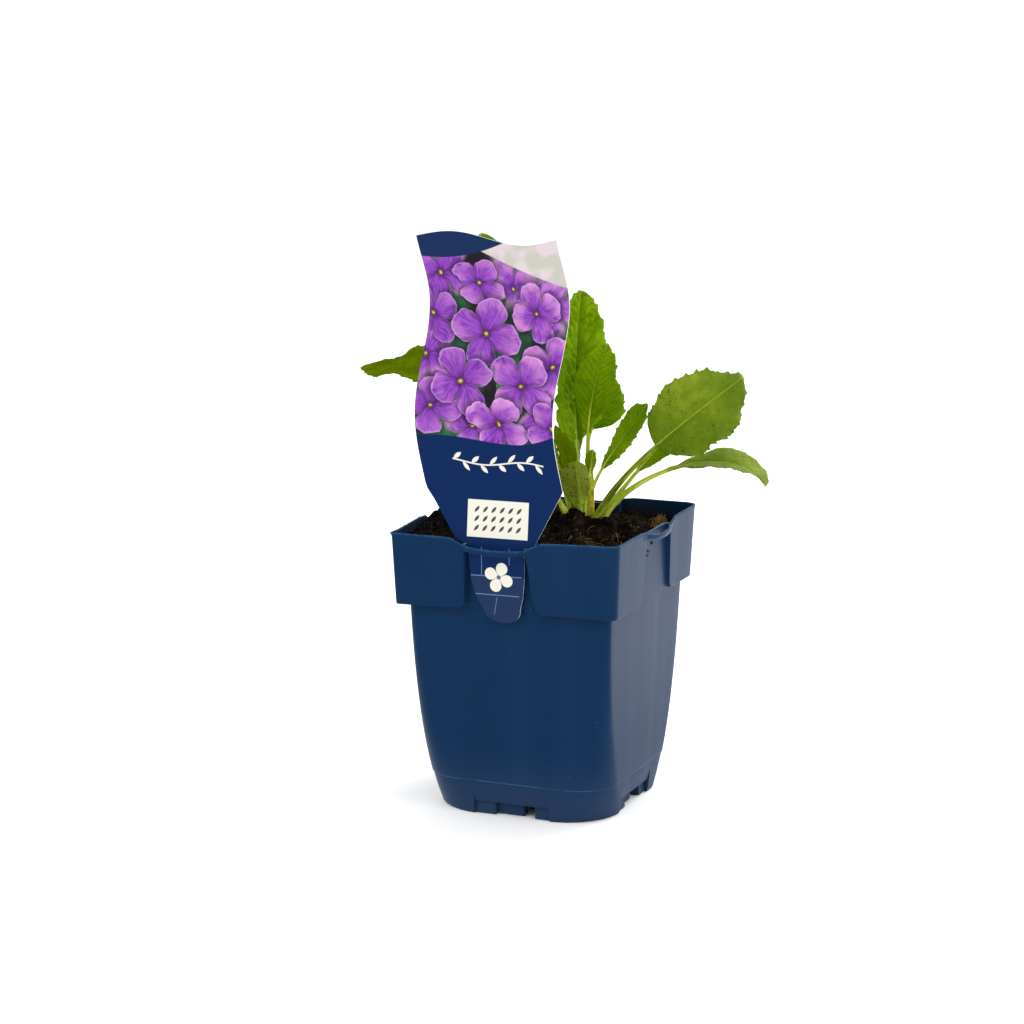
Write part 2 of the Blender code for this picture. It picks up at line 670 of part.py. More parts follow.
def leaf_frame(leaf, share):
    """The midrib's point and direction, with the way across the blade and the way its face looks."""
    point, along = midrib(leaf, share)
    heading = math.radians(leaf["heading"])
    side = Vector((math.sin(heading), -math.cos(heading), 0.0))
    side = (side - along * side.dot(along)).normalized()
    up = side.cross(along)
    turn = math.radians(leaf["roll"][0] * (1 - share) + leaf["roll"][1] * share)
    across = side * math.cos(turn) + up * math.sin(turn)
    face = up * math.cos(turn) - side * math.sin(turn)
    return point, along, across, face


def leaf_point(leaf, share, column, tooth):
    """A point on the middle of the blade, and the way its face looks there."""
    point, along, across, face = leaf_frame(leaf, share)
    half = blade_half(leaf, share) + 0.0005 * leaf["petiole"] * (1 - share) + TIP_HALF * share
    fold = math.radians(leaf["fold"])
    out = column * half
    lift = abs(out) * math.sin(fold) + leaf["cup"] * out * out / (leaf["width"] / 1000)
    ripple = leaf["wave"] / 1000 * min(1.0, blade_half(leaf, share) / (0.00015 * leaf["width"]))
    phase = MARGIN_PHASE if column > 0 else 0.0
    lift += ripple * abs(column)**1.5 * math.sin(6 * math.pi * share + phase)
    out += math.copysign(tooth, column) if tooth else 0.0
    place = point + across * out * math.cos(fold) + face * lift + along * abs(tooth) * 0.5
    return place, face


def leaf_shares(leaf):
    """Where the leaf's cross-sections lie: evenly along the petiole, then two for each tooth."""
    start = leaf["blade_from"]
    shares = [start * i / PETIOLE_STEPS for i in range(PETIOLE_STEPS)]
    count = 2 * leaf["teeth"]
    shares += [start + (1 - start) * (i / count)**0.93 for i in range(count + 1)]
    return shares


def cut_level(ring, along):
    """A ring slid along its leaf to the height of the leaf's foot, which stands flat on the crown."""
    return [p + along * ((CROWN_TOP + GAP - p.z) / along.z) for p in ring]


def leaf_solid(name, leaf, collection, material):
    """One leaf from petiole to tip: a blade of toothed, waved margins with its midrib swollen below."""
    rng = random.Random(f"{LEAF_SEED} {name}")
    shares = leaf_shares(leaf)
    points = []
    for number, share in enumerate(shares):
        in_blade = number > PETIOLE_STEPS and number < len(shares) - 1
        stem = STALK_DEPTH * leaf["petiole"] / 1000 * (1 - share)**1.5
        edge_left = leaf["tooth"] / 1000 * rng.uniform(*TOOTH_RANGE) if in_blade and number % 2 else 0.0
        edge_right = leaf["tooth"] / 1000 * rng.uniform(*TOOTH_RANGE) if in_blade and not number % 2 else 0.0
        small = min(1.0, blade_half(leaf, share) / (0.0002 * leaf["width"]))
        tops = []
        bottoms = []
        for column in COLUMNS:
            tooth = small * (edge_left if column == -1 else edge_right if column == 1 else 0.0)
            place, face = leaf_point(leaf, share, column, tooth)
            swell = stem * (1 - column * column)
            tops.append(place + face * BLADE_THICKNESS / 2)
            bottoms.append(place - face * (BLADE_THICKNESS / 2 + swell))
        ring = tops + bottoms[::-1]
        if number == 0:
            ring = cut_level(ring, midrib(leaf, share)[1])
        points += ring
    columns = len(COLUMNS)
    count = 2 * columns
    faces = []
    for level in range(len(shares) - 1):
        low = level * count
        for i in range(count):
            j = (i + 1) % count
            corners = (low + i, low + j, low + count + j, low + count + i)
            if i < columns:
                faces.append((corners[0], corners[1], corners[2]))
                faces.append((corners[0], corners[2], corners[3]))
            else:
                faces.append((corners[0], corners[1], corners[3]))
                faces.append((corners[1], corners[2], corners[3]))
    for end in (0, (len(shares) - 1) * count):
        for i in range(columns - 1):
            strip = (end + i, end + i + 1, end + count - 2 - i, end + count - 1 - i)
            faces.append(strip[::-1] if end == 0 else strip)
    item = new_object(name, points, faces, collection, material)
    smoothed(item, 60.0)
    return item


def tag_middle(z):
    """The middle of the tag's wavy width at a height: the sway is quicker above its crest."""
    length = TAG_SWAY_LENGTHS[0] if z < TAG_CREST_Z else TAG_SWAY_LENGTHS[1]
    return TAG_MIDDLE_X + TAG_SWAY * math.cos(2 * math.pi * (z - TAG_CREST_Z) / length)


def tag_top(x):
    wave = math.cos(2 * math.pi * (x - TAG_TOP_CREST_X) / TAG_TOP_WAVE_LENGTH)
    return TAG_TOP + TAG_TOP_WAVE * wave


def tag_outline():
    """The tag's outline, anticlockwise from the tip of its tongue."""
    tongue = list(zip(TONGUE_MIDDLES, TONGUE_HALVES, TONGUE_LEVELS))
    outline = [TONGUE_TIP]
    outline += [(middle + half, z) for middle, half, z in reversed(tongue)]
    outline += [(x, TAG_SHOULDER_Z) for x in TAG_RIGHT_SHOULDER]
    right = []
    left = []
    for i in range(TAG_SIDE_STEPS + 1):
        z = TAG_WAIST_Z + (TAG_TOP - TAG_WAIST_Z) * i / TAG_SIDE_STEPS
        right.append((tag_middle(z) + TAG_HALF, z))
        left.append((tag_middle(z) - TAG_HALF, z))
    right[-1] = (right[-1][0], tag_top(right[-1][0]))
    left[-1] = (left[-1][0], tag_top(left[-1][0]))
    top = []
    for i in range(1, TAG_TOP_STEPS):
        x = right[-1][0] + (left[-1][0] - right[-1][0]) * i / TAG_TOP_STEPS
        top.append((x, tag_top(x)))
    outline += right + top + left[::-1]
    outline += TAG_LOW_LEFT
    outline += [(x, TAG_SHOULDER_Z) for x in TAG_LEFT_SHOULDER]
    outline += [(middle - half, z) for middle, half, z in tongue]
    return outline


def plant_tag(collection, material):
    """A thin card tag that stands in the front socket, its tongue hanging behind the strap."""
    outline = tag_outline()
    near = TAG_Y - TAG_THICKNESS / 2
    far = TAG_Y + TAG_THICKNESS / 2
    rings = [[Vector((x, y, z)) for x, z in outline] for y in (near, far)]
    return loft("plant_tag", rings, collection, material)


def main():
    clear_scene()
    parts = new_collection("potted_dames_rocket")
    cutters = new_collection("cutters")
    blue_plastic = new_material("pot_plastic", (0.010, 0.040, 0.115), 0.38)
    peat = new_material("potting_soil", (0.030, 0.017, 0.010), 0.95)
    crown_green = new_material("root_crown", (0.160, 0.190, 0.060), 0.7)
    leaf_green = new_material("leaf", (0.130, 0.240, 0.020), 0.5)
    leaf_yellow = new_material("leaf_yellowed", (0.520, 0.330, 0.020), 0.6)
    tag_card = new_material("plant_tag", (0.012, 0.024, 0.130), 0.3)
    pot(parts, cutters, blue_plastic)
    potting_soil(parts, cutters, peat)
    root_crown(parts, crown_green)
    for name, leaf in LEAVES.items():
        leaf_solid(name, leaf, parts, leaf_yellow if "yellowed" in name else leaf_green)
    plant_tag(parts, tag_card)


main()
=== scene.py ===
"""Looks of the potted dames rocket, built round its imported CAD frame."""

import math
import random

import bpy
import numpy as np
from mathutils import Matrix, Vector


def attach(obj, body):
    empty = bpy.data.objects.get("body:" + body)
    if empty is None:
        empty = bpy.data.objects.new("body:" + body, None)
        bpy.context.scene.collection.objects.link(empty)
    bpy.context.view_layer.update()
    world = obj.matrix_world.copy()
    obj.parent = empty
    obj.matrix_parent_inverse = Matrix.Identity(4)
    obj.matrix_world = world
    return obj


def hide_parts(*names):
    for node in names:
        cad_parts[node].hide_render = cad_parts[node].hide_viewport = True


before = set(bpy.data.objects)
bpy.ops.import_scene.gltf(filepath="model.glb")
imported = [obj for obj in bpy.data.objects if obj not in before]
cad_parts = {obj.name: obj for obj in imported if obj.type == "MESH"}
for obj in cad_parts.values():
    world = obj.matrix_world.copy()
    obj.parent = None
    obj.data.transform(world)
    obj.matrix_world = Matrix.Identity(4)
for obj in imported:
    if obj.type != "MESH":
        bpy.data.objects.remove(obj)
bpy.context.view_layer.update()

# Camera, in metres and degrees
CAMERA_PLACE = (0.50653675, -1.25952531, 0.41027543)
CAMERA_RISE = 78.536314
CAMERA_TURN = 22.607745
CAMERA_LENS = 105.0031

# A lamp on the floor behind the pot, which its right side mirrors
POOL_PLACE = (0.24, 0.66, 0.80)
POOL_AIM = (0.22, 0.44, 0.0)
POOL_POWER = 40.0

# Pot: the main measures are the CAD's
RIM_HEIGHT = 0.1335
RIM_HALF = 0.0550
RIM_RADIUS = 0.0048
SKIRT_Z = 0.0993
SKIRT_HALF = 0.0535
BODY_HALF = 0.0493
BODY_TAPER = 0.0034
BODY_TUCK = 0.0021
TUCK_POWER = 5.6
TOP_RADIUS = 0.0043
FOOT_RADIUS_GROWTH = 0.0223
RADIUS_POWER = 2.2
PARTING_Z = 0.0162
PARTING_STEP = 0.0003
WALL = 0.0011
SMALLEST_RADIUS = 0.002
PLATE_Z = 0.0064
PLATE_THICKNESS = 0.0013
NOTCH_HALF = 0.0186
NOTCH_TOP = 0.0061
RIB_THICKNESS = 0.0012
RIB_TOP = 0.0070
RIB_FOOT = 0.0002
RETURN_FOOT = 0.0001
PAD_RADIUS = 0.010
DRAIN_RADIUS = 0.004
DRAIN_OFFSET = 0.024
DRAIN_DEPTH = 0.004
DRAIN_SIDES = 32
PAD_SIDES = 48
FOOT_RIBS = ((-NOTCH_HALF, -0.0090, 0.0424), (-0.0092, 0.0040, 0.0400), (0.0110, NOTCH_HALF, 0.0420))
FOOT_RETURNS = ((-0.0096, 0.0423, 0.0391), (0.0034, 0.0399, 0.0360), (0.0110, 0.0419, 0.0360))
SOCKET_CORNER = 0.004
EDGES_TOP = 0.1283
STRAP_TALL = 0.0026
STRAP_THICK = 0.0014
STRAP_BOW = 0.0030
STRAP_CURVE = 2.4
RIM_DIP_SPREAD = 0.0042
RIM_SAG_RUN = 0.036

# Each label socket: its edges at the top and at the bottom, how far out the back wall of the recess
# stands, how deep the rim dips at each edge, how much of it sags further out, how low the inner wall is
# cut, and the heights of the strap's top at its ends and its middle. The floors, the front and left inner
# walls and the left socket's first dip and strap differ from the CAD's.
SOCKETS = {
    "front": {
        "turn": 0, "left": (-0.0188, -0.0192), "right": (0.0112, 0.0150), "floor": 0.0500,
        "dips": (0.0030, 0.0028), "sag": 0.0015, "inner": 0.0044, "strap": (0.1284, 0.1277, 0.1284),
    },
    "right": {
        "turn": 90, "left": (-0.0158, -0.0178), "right": (0.0164, 0.0188), "floor": 0.0520,
        "dips": (0.0006, 0.0025), "sag": 0.0, "inner": 0.0028, "strap": (0.1324, 0.1303, 0.1307),
    },
    "back": {
        "turn": 180, "left": (-0.0158, -0.0178), "right": (0.0164, 0.0188), "floor": 0.0506,
        "dips": (0.0008, 0.0014), "sag": 0.0, "inner": 0.0028, "strap": (0.1322, 0.1302, 0.1316),
    },
    "left": {
        "turn": 270, "left": (-0.0158, -0.0178), "right": (0.0164, 0.0188), "floor": 0.0506,
        "dips": (0.0030, 0.0006), "sag": 0.0, "inner": 0.0044, "strap": (0.1302, 0.1286, 0.1320),
    },
}

# Radii of the rim's corners at each side's two ends. The CAD has 2.4 mm at the front left one, where
# this has 1.6 mm, and 4.8 mm at the back right one, where this has 6.6 mm.
SHARP_RADIUS = 0.0016
WIDE_RADIUS = 0.0066
CORNERS = {
    "front": (SHARP_RADIUS, RIM_RADIUS),
    "right": (RIM_RADIUS, WIDE_RADIUS),
    "back": (WIDE_RADIUS, RIM_RADIUS),
    "left": (RIM_RADIUS, SHARP_RADIUS),
}
# The body's corner radii against the CAD's, in the same order: the back right corner is tighter
BODY_CORNERS = {"front": (1.0, 1.0), "right": (1.0, 0.77), "back": (0.77, 1.0), "left": (1.0, 1.0)}
# Edges turned more than this are sharp (degrees)
POT_SHARP_ANGLE = 38
# Outward edges above this height get a painted highlight. An edge counts from one turn on, and fully at the
# next (radians).
GLINT_FROM = 0.1258
GLINT_RUN = 0.0015
GLINT_TURN = 0.2
GLINT_TURN_RUN = 0.6
# How far the rim is pushed out at its front left and back right corners
FLARE = 0.0006
FLARE_RUN = 0.0020
FLARE_SPREAD = 0.0045

# Finer pot: heights of its rings, and the columns across a socket's or notch's edge (metres out of
# the edge, share of the full depth there)
EDGE_COLUMNS = ((0.00050, 0.0), (0.00006, 0.01), (0.0, 0.05), (-0.00008, 0.95), (-0.00014, 0.99),
                (-0.0006, 1.0))
MIDDLE_COLUMNS = 13
STRAIGHT_COLUMNS = 6
ARC_COLUMNS = 8
BODY_LEVELS = (0.0, 0.0005, 0.0015, 0.003, 0.0045, 0.006, 0.008, 0.010, 0.012, 0.014, 0.0158, 0.0161,
               0.0162, 0.0165, 0.020, 0.024, 0.029, 0.034, 0.040, 0.046, 0.054, 0.062, 0.071, 0.080,
               0.090, 0.098, SKIRT_Z)
SKIRT_RISES = (0.0005, 0.0010, 0.0018, 0.0028, 0.0040, 0.0075, 0.0120, 0.0160, 0.0190, 0.0215, 0.0240,
               0.0262, 0.0282, 0.0300, 0.0315, 0.0328)
FOOT_LEVELS = (PLATE_Z, 0.003, 0.0004)
INNER_SKIRT_LEVELS = (0.1322, 0.1300, 0.1272, 0.1240, 0.1190, 0.1120, 0.1045, SKIRT_Z + WALL)
INNER_BODY_LEVELS = (SKIRT_Z + WALL - 0.0001, 0.080, 0.062, 0.046, 0.030, 0.016, PLATE_Z + PLATE_THICKNESS)
# The skirt's rounded lower edge (how far in and up each ring lies), and the steps round the rim's lip
SKIRT_EDGE = ((0.0006, 0.0), (0.0002, 0.00006), (0.00006, 0.0002))
LIP_STEPS = 6
DIP_FROM = 0.1150
FOOT_BLEND = 0.012
# How far the rim hangs at its front left corner, and from which height up
WARP_DROP = 0.0018
WARP_SPREAD = 0.028
WARP_FROM = 0.080
WARP_RUN = 0.030

# Soil and crown
GAP = 0.0003
SOIL_LEVEL = 0.1262
SOIL_MOUND = 0.0050
SOIL_MOUND_SPREAD = 0.020
# Heaps and hollows in the soil: height, place and how far each one spreads in X and in Y.
SOIL_HEAPS = (
    (0.0050, (-0.028, -0.004), (0.018, 0.018)),
    (0.0055, (-0.046, -0.016), (0.010, 0.013)),
    (-0.0028, (0.040, 0.036), (0.016, 0.018)),
)
SOIL_FRONT_RISE = 0.0012
SOIL_CELLS = 216
SOIL_EDGE = 0.0534
# Clods in the finished surface only: height, place and how far each one spreads
CLODS = (
    (0.0058, (0.0120, 0.0048), (0.0058, 0.0036)),
    (0.0030, (0.0262, 0.0085), (0.0036, 0.0030)),
    (0.0036, (-0.0482, -0.0160), (0.0052, 0.0075)),
)
SOIL_SOCKET_EDGE = 0.0484
SOIL_CORNER = 0.0034
# Cells of the noise on the soil from the largest to the smallest, and how it is bent and sunk
CLOD_CELL = 0.0068
LUMP_CELL = 0.0031
GRAIN_CELL = 0.0014
FINE_CELL = 0.0007
BEND_CELL = 0.004
BEND = 0.0012
CLOD_POWER = 0.75
SOIL_PITS = 0.0020
# Levels of the soil's sides with their half widths and corner radii, and below them the levels at which
# they keep inside the body, each with the height whose width it takes
SOIL_SIDES = ((0.1215, SOIL_EDGE, 0.0036), (0.1010, 0.0520, 0.0034), (0.0990, 0.0478, 0.0030))
SOIL_DEPTHS = ((0.060, 0.060), (0.030, 0.030), (0.016, 0.016), (PLATE_Z + PLATE_THICKNESS + GAP, 0.0077))
SOIL_SIDE_GAP = 0.0006
# Loose pieces on the soil: the seeds of their draws and how many there are of each kind
CRUMB_SEED = 5
FIBRE_SEED = 9
FINE_CRUMBS = 1150
LARGE_CRUMBS = 260
BARK_FLAKES = 150
RIM_CRUMBS = 26
LOOSE_FIBRES = 70
RIGHT_FIBRES = 15
TUFT_FIBRES = 80
FIBRE_STEPS = 10
FIBRE_REACH = 0.0480
CROWN_X = 0.0130
CROWN_Y = 0.0135
CROWN_TOP = 0.1300
CROWN_RADIUS = 0.0102
CROWN_ROOT_RADIUS = 0.0060
CROWN_DEPTH = 0.0120
CROWN_ROWS = 40
CROWN_SIDES = 72
KNOB_RISE = 0.00028
KNOB_CELL = 0.0022

# Plant tag: the CAD's measures, but 0.5 mm thick instead of 0.6 mm, bowed, and wider at the top right
TAG_Y = -0.0522
TAG_THICKNESS = 0.0005
TAG_HALF = 0.0334
TAG_MIDDLE_X = -0.0064
TAG_SWAY = 0.0038
TAG_SWAY_LENGTHS = (0.102, 0.080)
TAG_CREST_Z = 0.2375
TAG_TOP = 0.2670
TAG_TOP_WAVE = 0.0025
TAG_TOP_WAVE_LENGTH = 0.066
TAG_TOP_CREST_X = -0.0255
TAG_WIDENING = 0.0006
TAG_COLUMNS = 48
TAG_BOW = 0.0009
TAG_TWIST = 0.0004
TAG_SHOULDER_Z = 0.1292
TAG_RIGHT_SHOULDER = (0.0102, 0.0142)
TAG_LEFT_SHOULDER = (-0.0226, -0.0178)
TAG_LOW_LEFT = ((-0.0374, 0.1527), (-0.0345, 0.1488))
TAG_WAIST_Z = 0.1557
TONGUE_TIP = (-0.0001, 0.0937)
TONGUE_HALVES = (0.0137, 0.0135, 0.0128, 0.0114, 0.0091, 0.0063, 0.0031)
TONGUE_MIDDLES = (-0.0039, -0.0035, -0.0031, -0.0024, -0.0013, -0.0007, -0.0004)
TONGUE_LEVELS = (0.1250, 0.1200, 0.1120, 0.1053, 0.1000, 0.0964, 0.0943)

# Leaves
LEAF_SEED = 21
PETIOLE_STEPS = 6
STALK_DEPTH = 0.72
TIP_HALF = 0.0003
TOOTH_RANGE = (0.5, 1.2)
MARGIN_PHASE = 1.3
ROW_STEP = 0.00055
COLUMN_STEP = 0.00085
SUNK = 0.004
TIP_NARROWING = 0.32
CREASE = 0.0009
CREASE_RUN = 0.0013
# How strongly some leaves are puckered between their veins, and how deeply their margins are lobed
RELIEF = {"leaf_01": 0.7, "leaf_02": 1.3, "leaf_03": 1.7, "leaf_07": 0.22, "leaf_08": 0.14, "leaf_09": 0.4,
          "leaf_15_yellowed": 0.5}
LOBES = {"leaf_07": 2.2, "leaf_03": 1.3}
VEIN_SPACING = (0.0024, 0.0058)
BLISTER_SIZE = 0.0036
BLISTER_RISE = 0.00105
RUFFLES = 3
RUFFLE_RISE = 0.00042
BULGE_RISE = 0.00062
PIT_RISE = 0.00026
PIT_CELL = 0.0030
LOBE_CELL = 0.0105
NICK_CELL = 0.0019
LOBE_DEPTH = 0.0010
NICK_DEPTH = 0.00030
NET_SCALE = 60
# Where a side of a blade is narrower or wider than the CAD's: shares of the blade's run and widths there
SIDES = {
    "leaf_01": {
        1: ((0.0, 1.0), (0.45, 1.0), (0.62, 0.94), (0.74, 0.66), (0.86, 0.30), (0.95, 0.55), (1.0, 1.2)),
        -1: ((0.0, 1.5), (0.35, 1.5), (0.60, 1.22), (0.80, 1.10), (0.92, 0.75), (1.0, 0.5)),
    },
    "leaf_03": {
        1: ((0.0, 0.0), (0.17, 0.04), (0.22, 0.45), (0.30, 0.90), (0.42, 1.0), (0.60, 0.93), (0.74, 0.81),
            (0.88, 0.84), (1.0, 1.0)),
        -1: ((0.0, 2.2), (0.10, 2.0), (0.18, 1.65), (0.33, 1.26), (0.45, 1.05), (0.60, 1.0)),
    },
    "leaf_04": {
        1: ((0.0, 0.0), (0.08, 0.10), (0.16, 0.35), (0.25, 0.90), (0.38, 1.0)),
        -1: ((0.0, 0.5), (0.13, 0.6), (0.25, 0.8), (0.50, 1.0)),
    },
    "leaf_05": {1: ((0.0, 1.0), (0.05, 1.7), (0.20, 1.35), (0.40, 1.0))},
    "leaf_06": {
        1: ((0.0, 1.1), (1.0, 1.1)),
        -1: ((0.0, 0.35), (0.35, 0.55), (0.60, 0.95), (0.80, 1.3), (0.93, 2.0), (1.0, 1.0)),
    },
    "leaf_07": {-1: ((0.0, 1.0), (0.45, 1.0), (0.58, 0.94), (0.70, 0.96), (0.85, 1.05), (1.0, 1.05))},
    "leaf_08": {
        -1: ((0.0, 0.05), (0.12, 0.14), (0.26, 0.55), (0.42, 1.0), (0.80, 1.0), (0.92, 1.3), (1.0, 1.2)),
        1: ((0.0, 0.05), (0.12, 0.20), (0.24, 0.85), (0.32, 1.15), (0.45, 1.0), (1.0, 1.0)),
    },
    "leaf_12": {-1: ((0.0, 0.12), (0.6, 0.12), (1.0, 0.4))},
}

# A stalk that bows out more than the CAD's: how far, and the shares between which it does.
BOWS = {"leaf_05": (0.0036, 0.10, 0.80)}
BOW_WAY = np.array([-0.923, -0.384, 0.0])

# Each leaf as the CAD has it: seat on the crown (mm from its middle), the way it faces (degrees), how far
# out, aside and up its tip is (mm), the headings and rises at which it starts and ends with the pull of
# each, and the build of its stalk and blade (mm, degrees and shares).
LEAF_KEYS = ("seat", "heading", "reach", "drift", "height", "start", "end", "pull", "petiole",
             "blade_from", "width", "shape", "roll", "fold", "cup", "teeth", "tooth", "wave")
LEAF_ROWS = {
    "leaf_01": ((-6.2, -3.9), -161, 96.9, 0.0, 70.4, (-168, 64), (-193, -10), (0.70, 0.38),
                2.4, 0.49, 36.2, (0.91, 0.77), (41, 5), 2, 0.12, 11, 1.3, 1.0),
    "leaf_02": ((-7.4, 3.6), 161, 57.6, 0.0, 128.5, (163, 76), (168, 76), (0.35, 0.32),
                2.4, 0.35, 36.0, (0.91, 0.62), (0, 1), 10, 0.0, 14, 1.3, 1.2),
    "leaf_03": ((-2.3, 3.3), 113, 41.2, 0.0, 101.3, (132, 67), (91, 74), (0.34, 0.38),
                2.6, 0.21, 34.2, (0.89, 0.54), (-42, -42), 12, 0.15, 14, 1.4, 0.9),
    "leaf_04": ((1.1, 4.3), 89, 21.5, 0.0, 79.1, (128, 72), (72, 56), (0.42, 0.32),
                2.3, 0.42, 18.8, (0.87, 0.82), (-4, -3), 11, 0.0, 8, 1.1, 0.6),
    "leaf_05": ((0.7, 8.1), 103, 51.7, 0.0, 63.9, (112, 72), (96, 66), (0.45, 0.38),
                2.1, 0.54, 20.4, (0.70, 1.17), (-5, -5), 9, 0.0, 7, 0.8, 0.6),
    "leaf_06": ((1.3, 0.6), 63, 37.5, 0.0, 50.4, (61, 89), (53, 49), (0.30, 0.55),
                2.0, 0.49, 8.4, (1.00, 0.67), (-42, -42), 12, 0.0, 8, 1.0, 0.5),
    "leaf_07": ((5.7, -3.3), 24, 68.8, 0.0, 67.6, (29, 64), (54, 29), (0.28, 0.38),
                2.7, 0.50, 34.8, (0.62, 0.77), (-16, -104), 19, 0.56, 12, 1.7, 0.8),
    "leaf_08": ((8.6, -0.4), 10, 76.4, 0.0, 19.2, (3, 66), (-32, -43), (0.33, 0.38),
                2.6, 0.42, 21.5, (0.90, 0.70), (-35, -5), 19, -0.28, 9, 0.9, 0.5),
    "leaf_09": ((0.0, -5.9), -67, 1.0, 2.4, 28.4, (-62, 78), (171, 87), (0.33, 0.35),
                2.3, 0.23, 14.6, (0.80, 0.35), (-8, -28), 10, 0.17, 6, 0.5, 0.4),
    "leaf_10": ((1.1, -2.4), -60, -9.4, -5.0, 31.5, (-57, 84), (79, 81), (0.34, 0.30),
                1.5, 0.62, 4.4, (0.96, 0.68), (-2, -10), 16, 0.05, 4, 0.3, 0.2),
    "leaf_11": ((-3.7, -1.3), 177, 10.9, 0.0, 43.3, (178, 86), (177, 69), (0.37, 0.37),
                2.3, 0.30, 14.0, (0.89, 0.75), (3, 5), 8, 0.0, 7, 0.8, 0.4),
    "leaf_12": ((5.5, 1.7), 40, 46.6, 0.0, 46.7, (36, 48), (41, 38), (0.37, 0.32),
                2.1, 0.42, 15.1, (0.93, 0.69), (-36, -45), 14, 0.0, 8, 0.9, 0.5),
    "leaf_13": ((-3.6, -6.2), -145, 46.0, 0.0, 84.0, (-140, 58), (-150, 58), (0.37, 0.35),
                2.3, 0.50, 26.0, (0.90, 0.70), (0, 0), 12, 0.0, 9, 1.1, 0.8),
    "leaf_14": ((-7.4, -0.2), 180, 41.0, 0.0, 72.0, (180, 62), (184, 70), (0.34, 0.38),
                2.3, 0.45, 26.0, (0.90, 0.70), (0, 0), 12, 0.0, 9, 1.1, 0.8),
    "leaf_15_yellowed": ((3.9, -0.6), 20, 0.5, 0.0, 15.0, (20, 88), (20, 84), (0.35, 0.35),
                1.6, 0.35, 2.8, (0.70, 0.50), (0, 15), 16, 0.0, 3, 0.3, 0.2),
}
LEAVES = {name: dict(zip(LEAF_KEYS, row)) for name, row in LEAF_ROWS.items()}


# Small tools

def ease(share):
    share = np.clip(share, 0.0, 1.0)
    return share * share * (3 - 2 * share)


def lattice_noise(points, seed):
    """Smooth noise from -1 to 1 at points given in cells."""
    base = np.floor(points).astype(np.int64)
    part = points - base
    part = part**3 * (part * (part * 6 - 15) + 10)
    total = np.zeros(len(points))
    for corner in range(8):
        step = np.array([corner & 1, (corner >> 1) & 1, (corner >> 2) & 1])
        cell = base + step
        value = cell[:, 0] * 374761393 + cell[:, 1] * 668265263 + cell[:, 2] * 1442695041 + seed * 974634777
        value = (value ^ (value >> 13)) * 1274126177
        value = ((value ^ (value >> 16)) & 0xFFFFFF) / 0xFFFFFF * 2 - 1
        total += np.prod(np.where(step, part, 1 - part), axis=1) * value
    return total


def fractal(points, octaves, seed):
    total = np.zeros(len(points))
    for octave in range(octaves):
        total += lattice_noise(points * 2**octave, seed + octave) * 0.5**octave
    return total


def finished(item):
    """A piece rides on the body."""
    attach(item, "root")
    return item


def placed(name, data):
    """A new object in the scene."""
    item = bpy.data.objects.new(name, data)
    bpy.context.scene.collection.objects.link(item)
    return item


def read(items, key, size, kind=np.float32):
    """A row of values for each item of one of a mesh's lists."""
    values = np.zeros(len(items) * size, kind)
    items.foreach_get(key, values)
    return values.reshape(-1, size)


def turned(x, y, degrees):
    """Places turned round the pot's middle."""
    cos = math.cos(math.radians(degrees))
    sin = math.sin(math.radians(degrees))
    return x * cos - y * sin, x * sin + y * cos


def heaped(x, y, heaps):
    """The height of rounded heaps, each given as its height, its middle and its spread in X and Y."""
    total = 0.0
    for height, place, spread in heaps:
        total = total + height * np.exp(-((x - place[0]) / spread[0])**2 - ((y - place[1]) / spread[1])**2)
    return total


def rounded(x, y, half, radius):
    """Places brought in from beyond the rounded corners of a square."""
    flat = half - radius
    out_x = np.maximum(np.abs(x) - flat, 0.0)
    out_y = np.maximum(np.abs(y) - flat, 0.0)
    far = np.hypot(out_x, out_y)
    pull = np.where((out_x > 0) & (out_y > 0), np.minimum(1.0, radius / np.maximum(far, 1e-9)), 1.0)
    new_x = np.where(pull < 1, np.sign(x) * (flat + out_x * pull), x)
    new_y = np.where(pull < 1, np.sign(y) * (flat + out_y * pull), y)
    return new_x, new_y


def noise_places(x, y, depth):
    """Places for the noise from two arrays that fit each other, at one depth."""
    x, y = np.broadcast_arrays(x, y)
    return np.stack([x.ravel(), y.ravel(), np.full(x.size, depth)], axis=1)


def new_piece(name, points, faces, material, angle):
    """A mesh of numpy points and lists of faces, each list an array of faces of one size."""
    mesh = bpy.data.meshes.new(name)
    points = np.asarray(points, float)
    mesh.vertices.add(len(points))
    mesh.vertices.foreach_set("co", points.ravel().astype(np.float32))
    groups = [np.asarray(group, int) for group in faces if len(group)]
    loops = np.concatenate([group.ravel() for group in groups])
    sizes = np.concatenate([np.full(len(group), group.shape[1]) for group in groups])
    starts = np.concatenate([[0], np.cumsum(sizes)[:-1]])
    mesh.loops.add(len(loops))
    mesh.loops.foreach_set("vertex_index", loops.astype(np.int32))
    mesh.polygons.add(len(sizes))
    mesh.polygons.foreach_set("loop_start", starts.astype(np.int32))
    mesh.update(calc_edges=True)
    mesh.validate()
    item = placed(name, mesh)
    if signed_volume(mesh) < 0:
        mesh.flip_normals()
    mesh.shade_smooth()
    mesh.set_sharp_from_angle(angle=math.radians(angle))
    mesh.materials.append(material)
    return finished(item)


def signed_volume(mesh):
    mesh.calc_loop_triangles()
    corners = read(mesh.loop_triangles, "vertices", 3, np.int32)
    co = vertex_places(mesh)
    a, b, c = (co[corners[:, i]] for i in range(3))
    return float(np.sum(np.einsum("ij,ij->i", a, np.cross(b, c))))


def vertex_places(mesh):
    return read(mesh.vertices, "co", 3).astype(float)


def paint(mesh, name, red, green, blue):
    """A colour attribute of the mesh's points."""
    attribute = mesh.attributes.new(name, "FLOAT_COLOR", "POINT")
    values = np.stack([red, green, blue, np.ones(len(red))], axis=1)
    attribute.data.foreach_set("color", values.astype(np.float32).ravel())


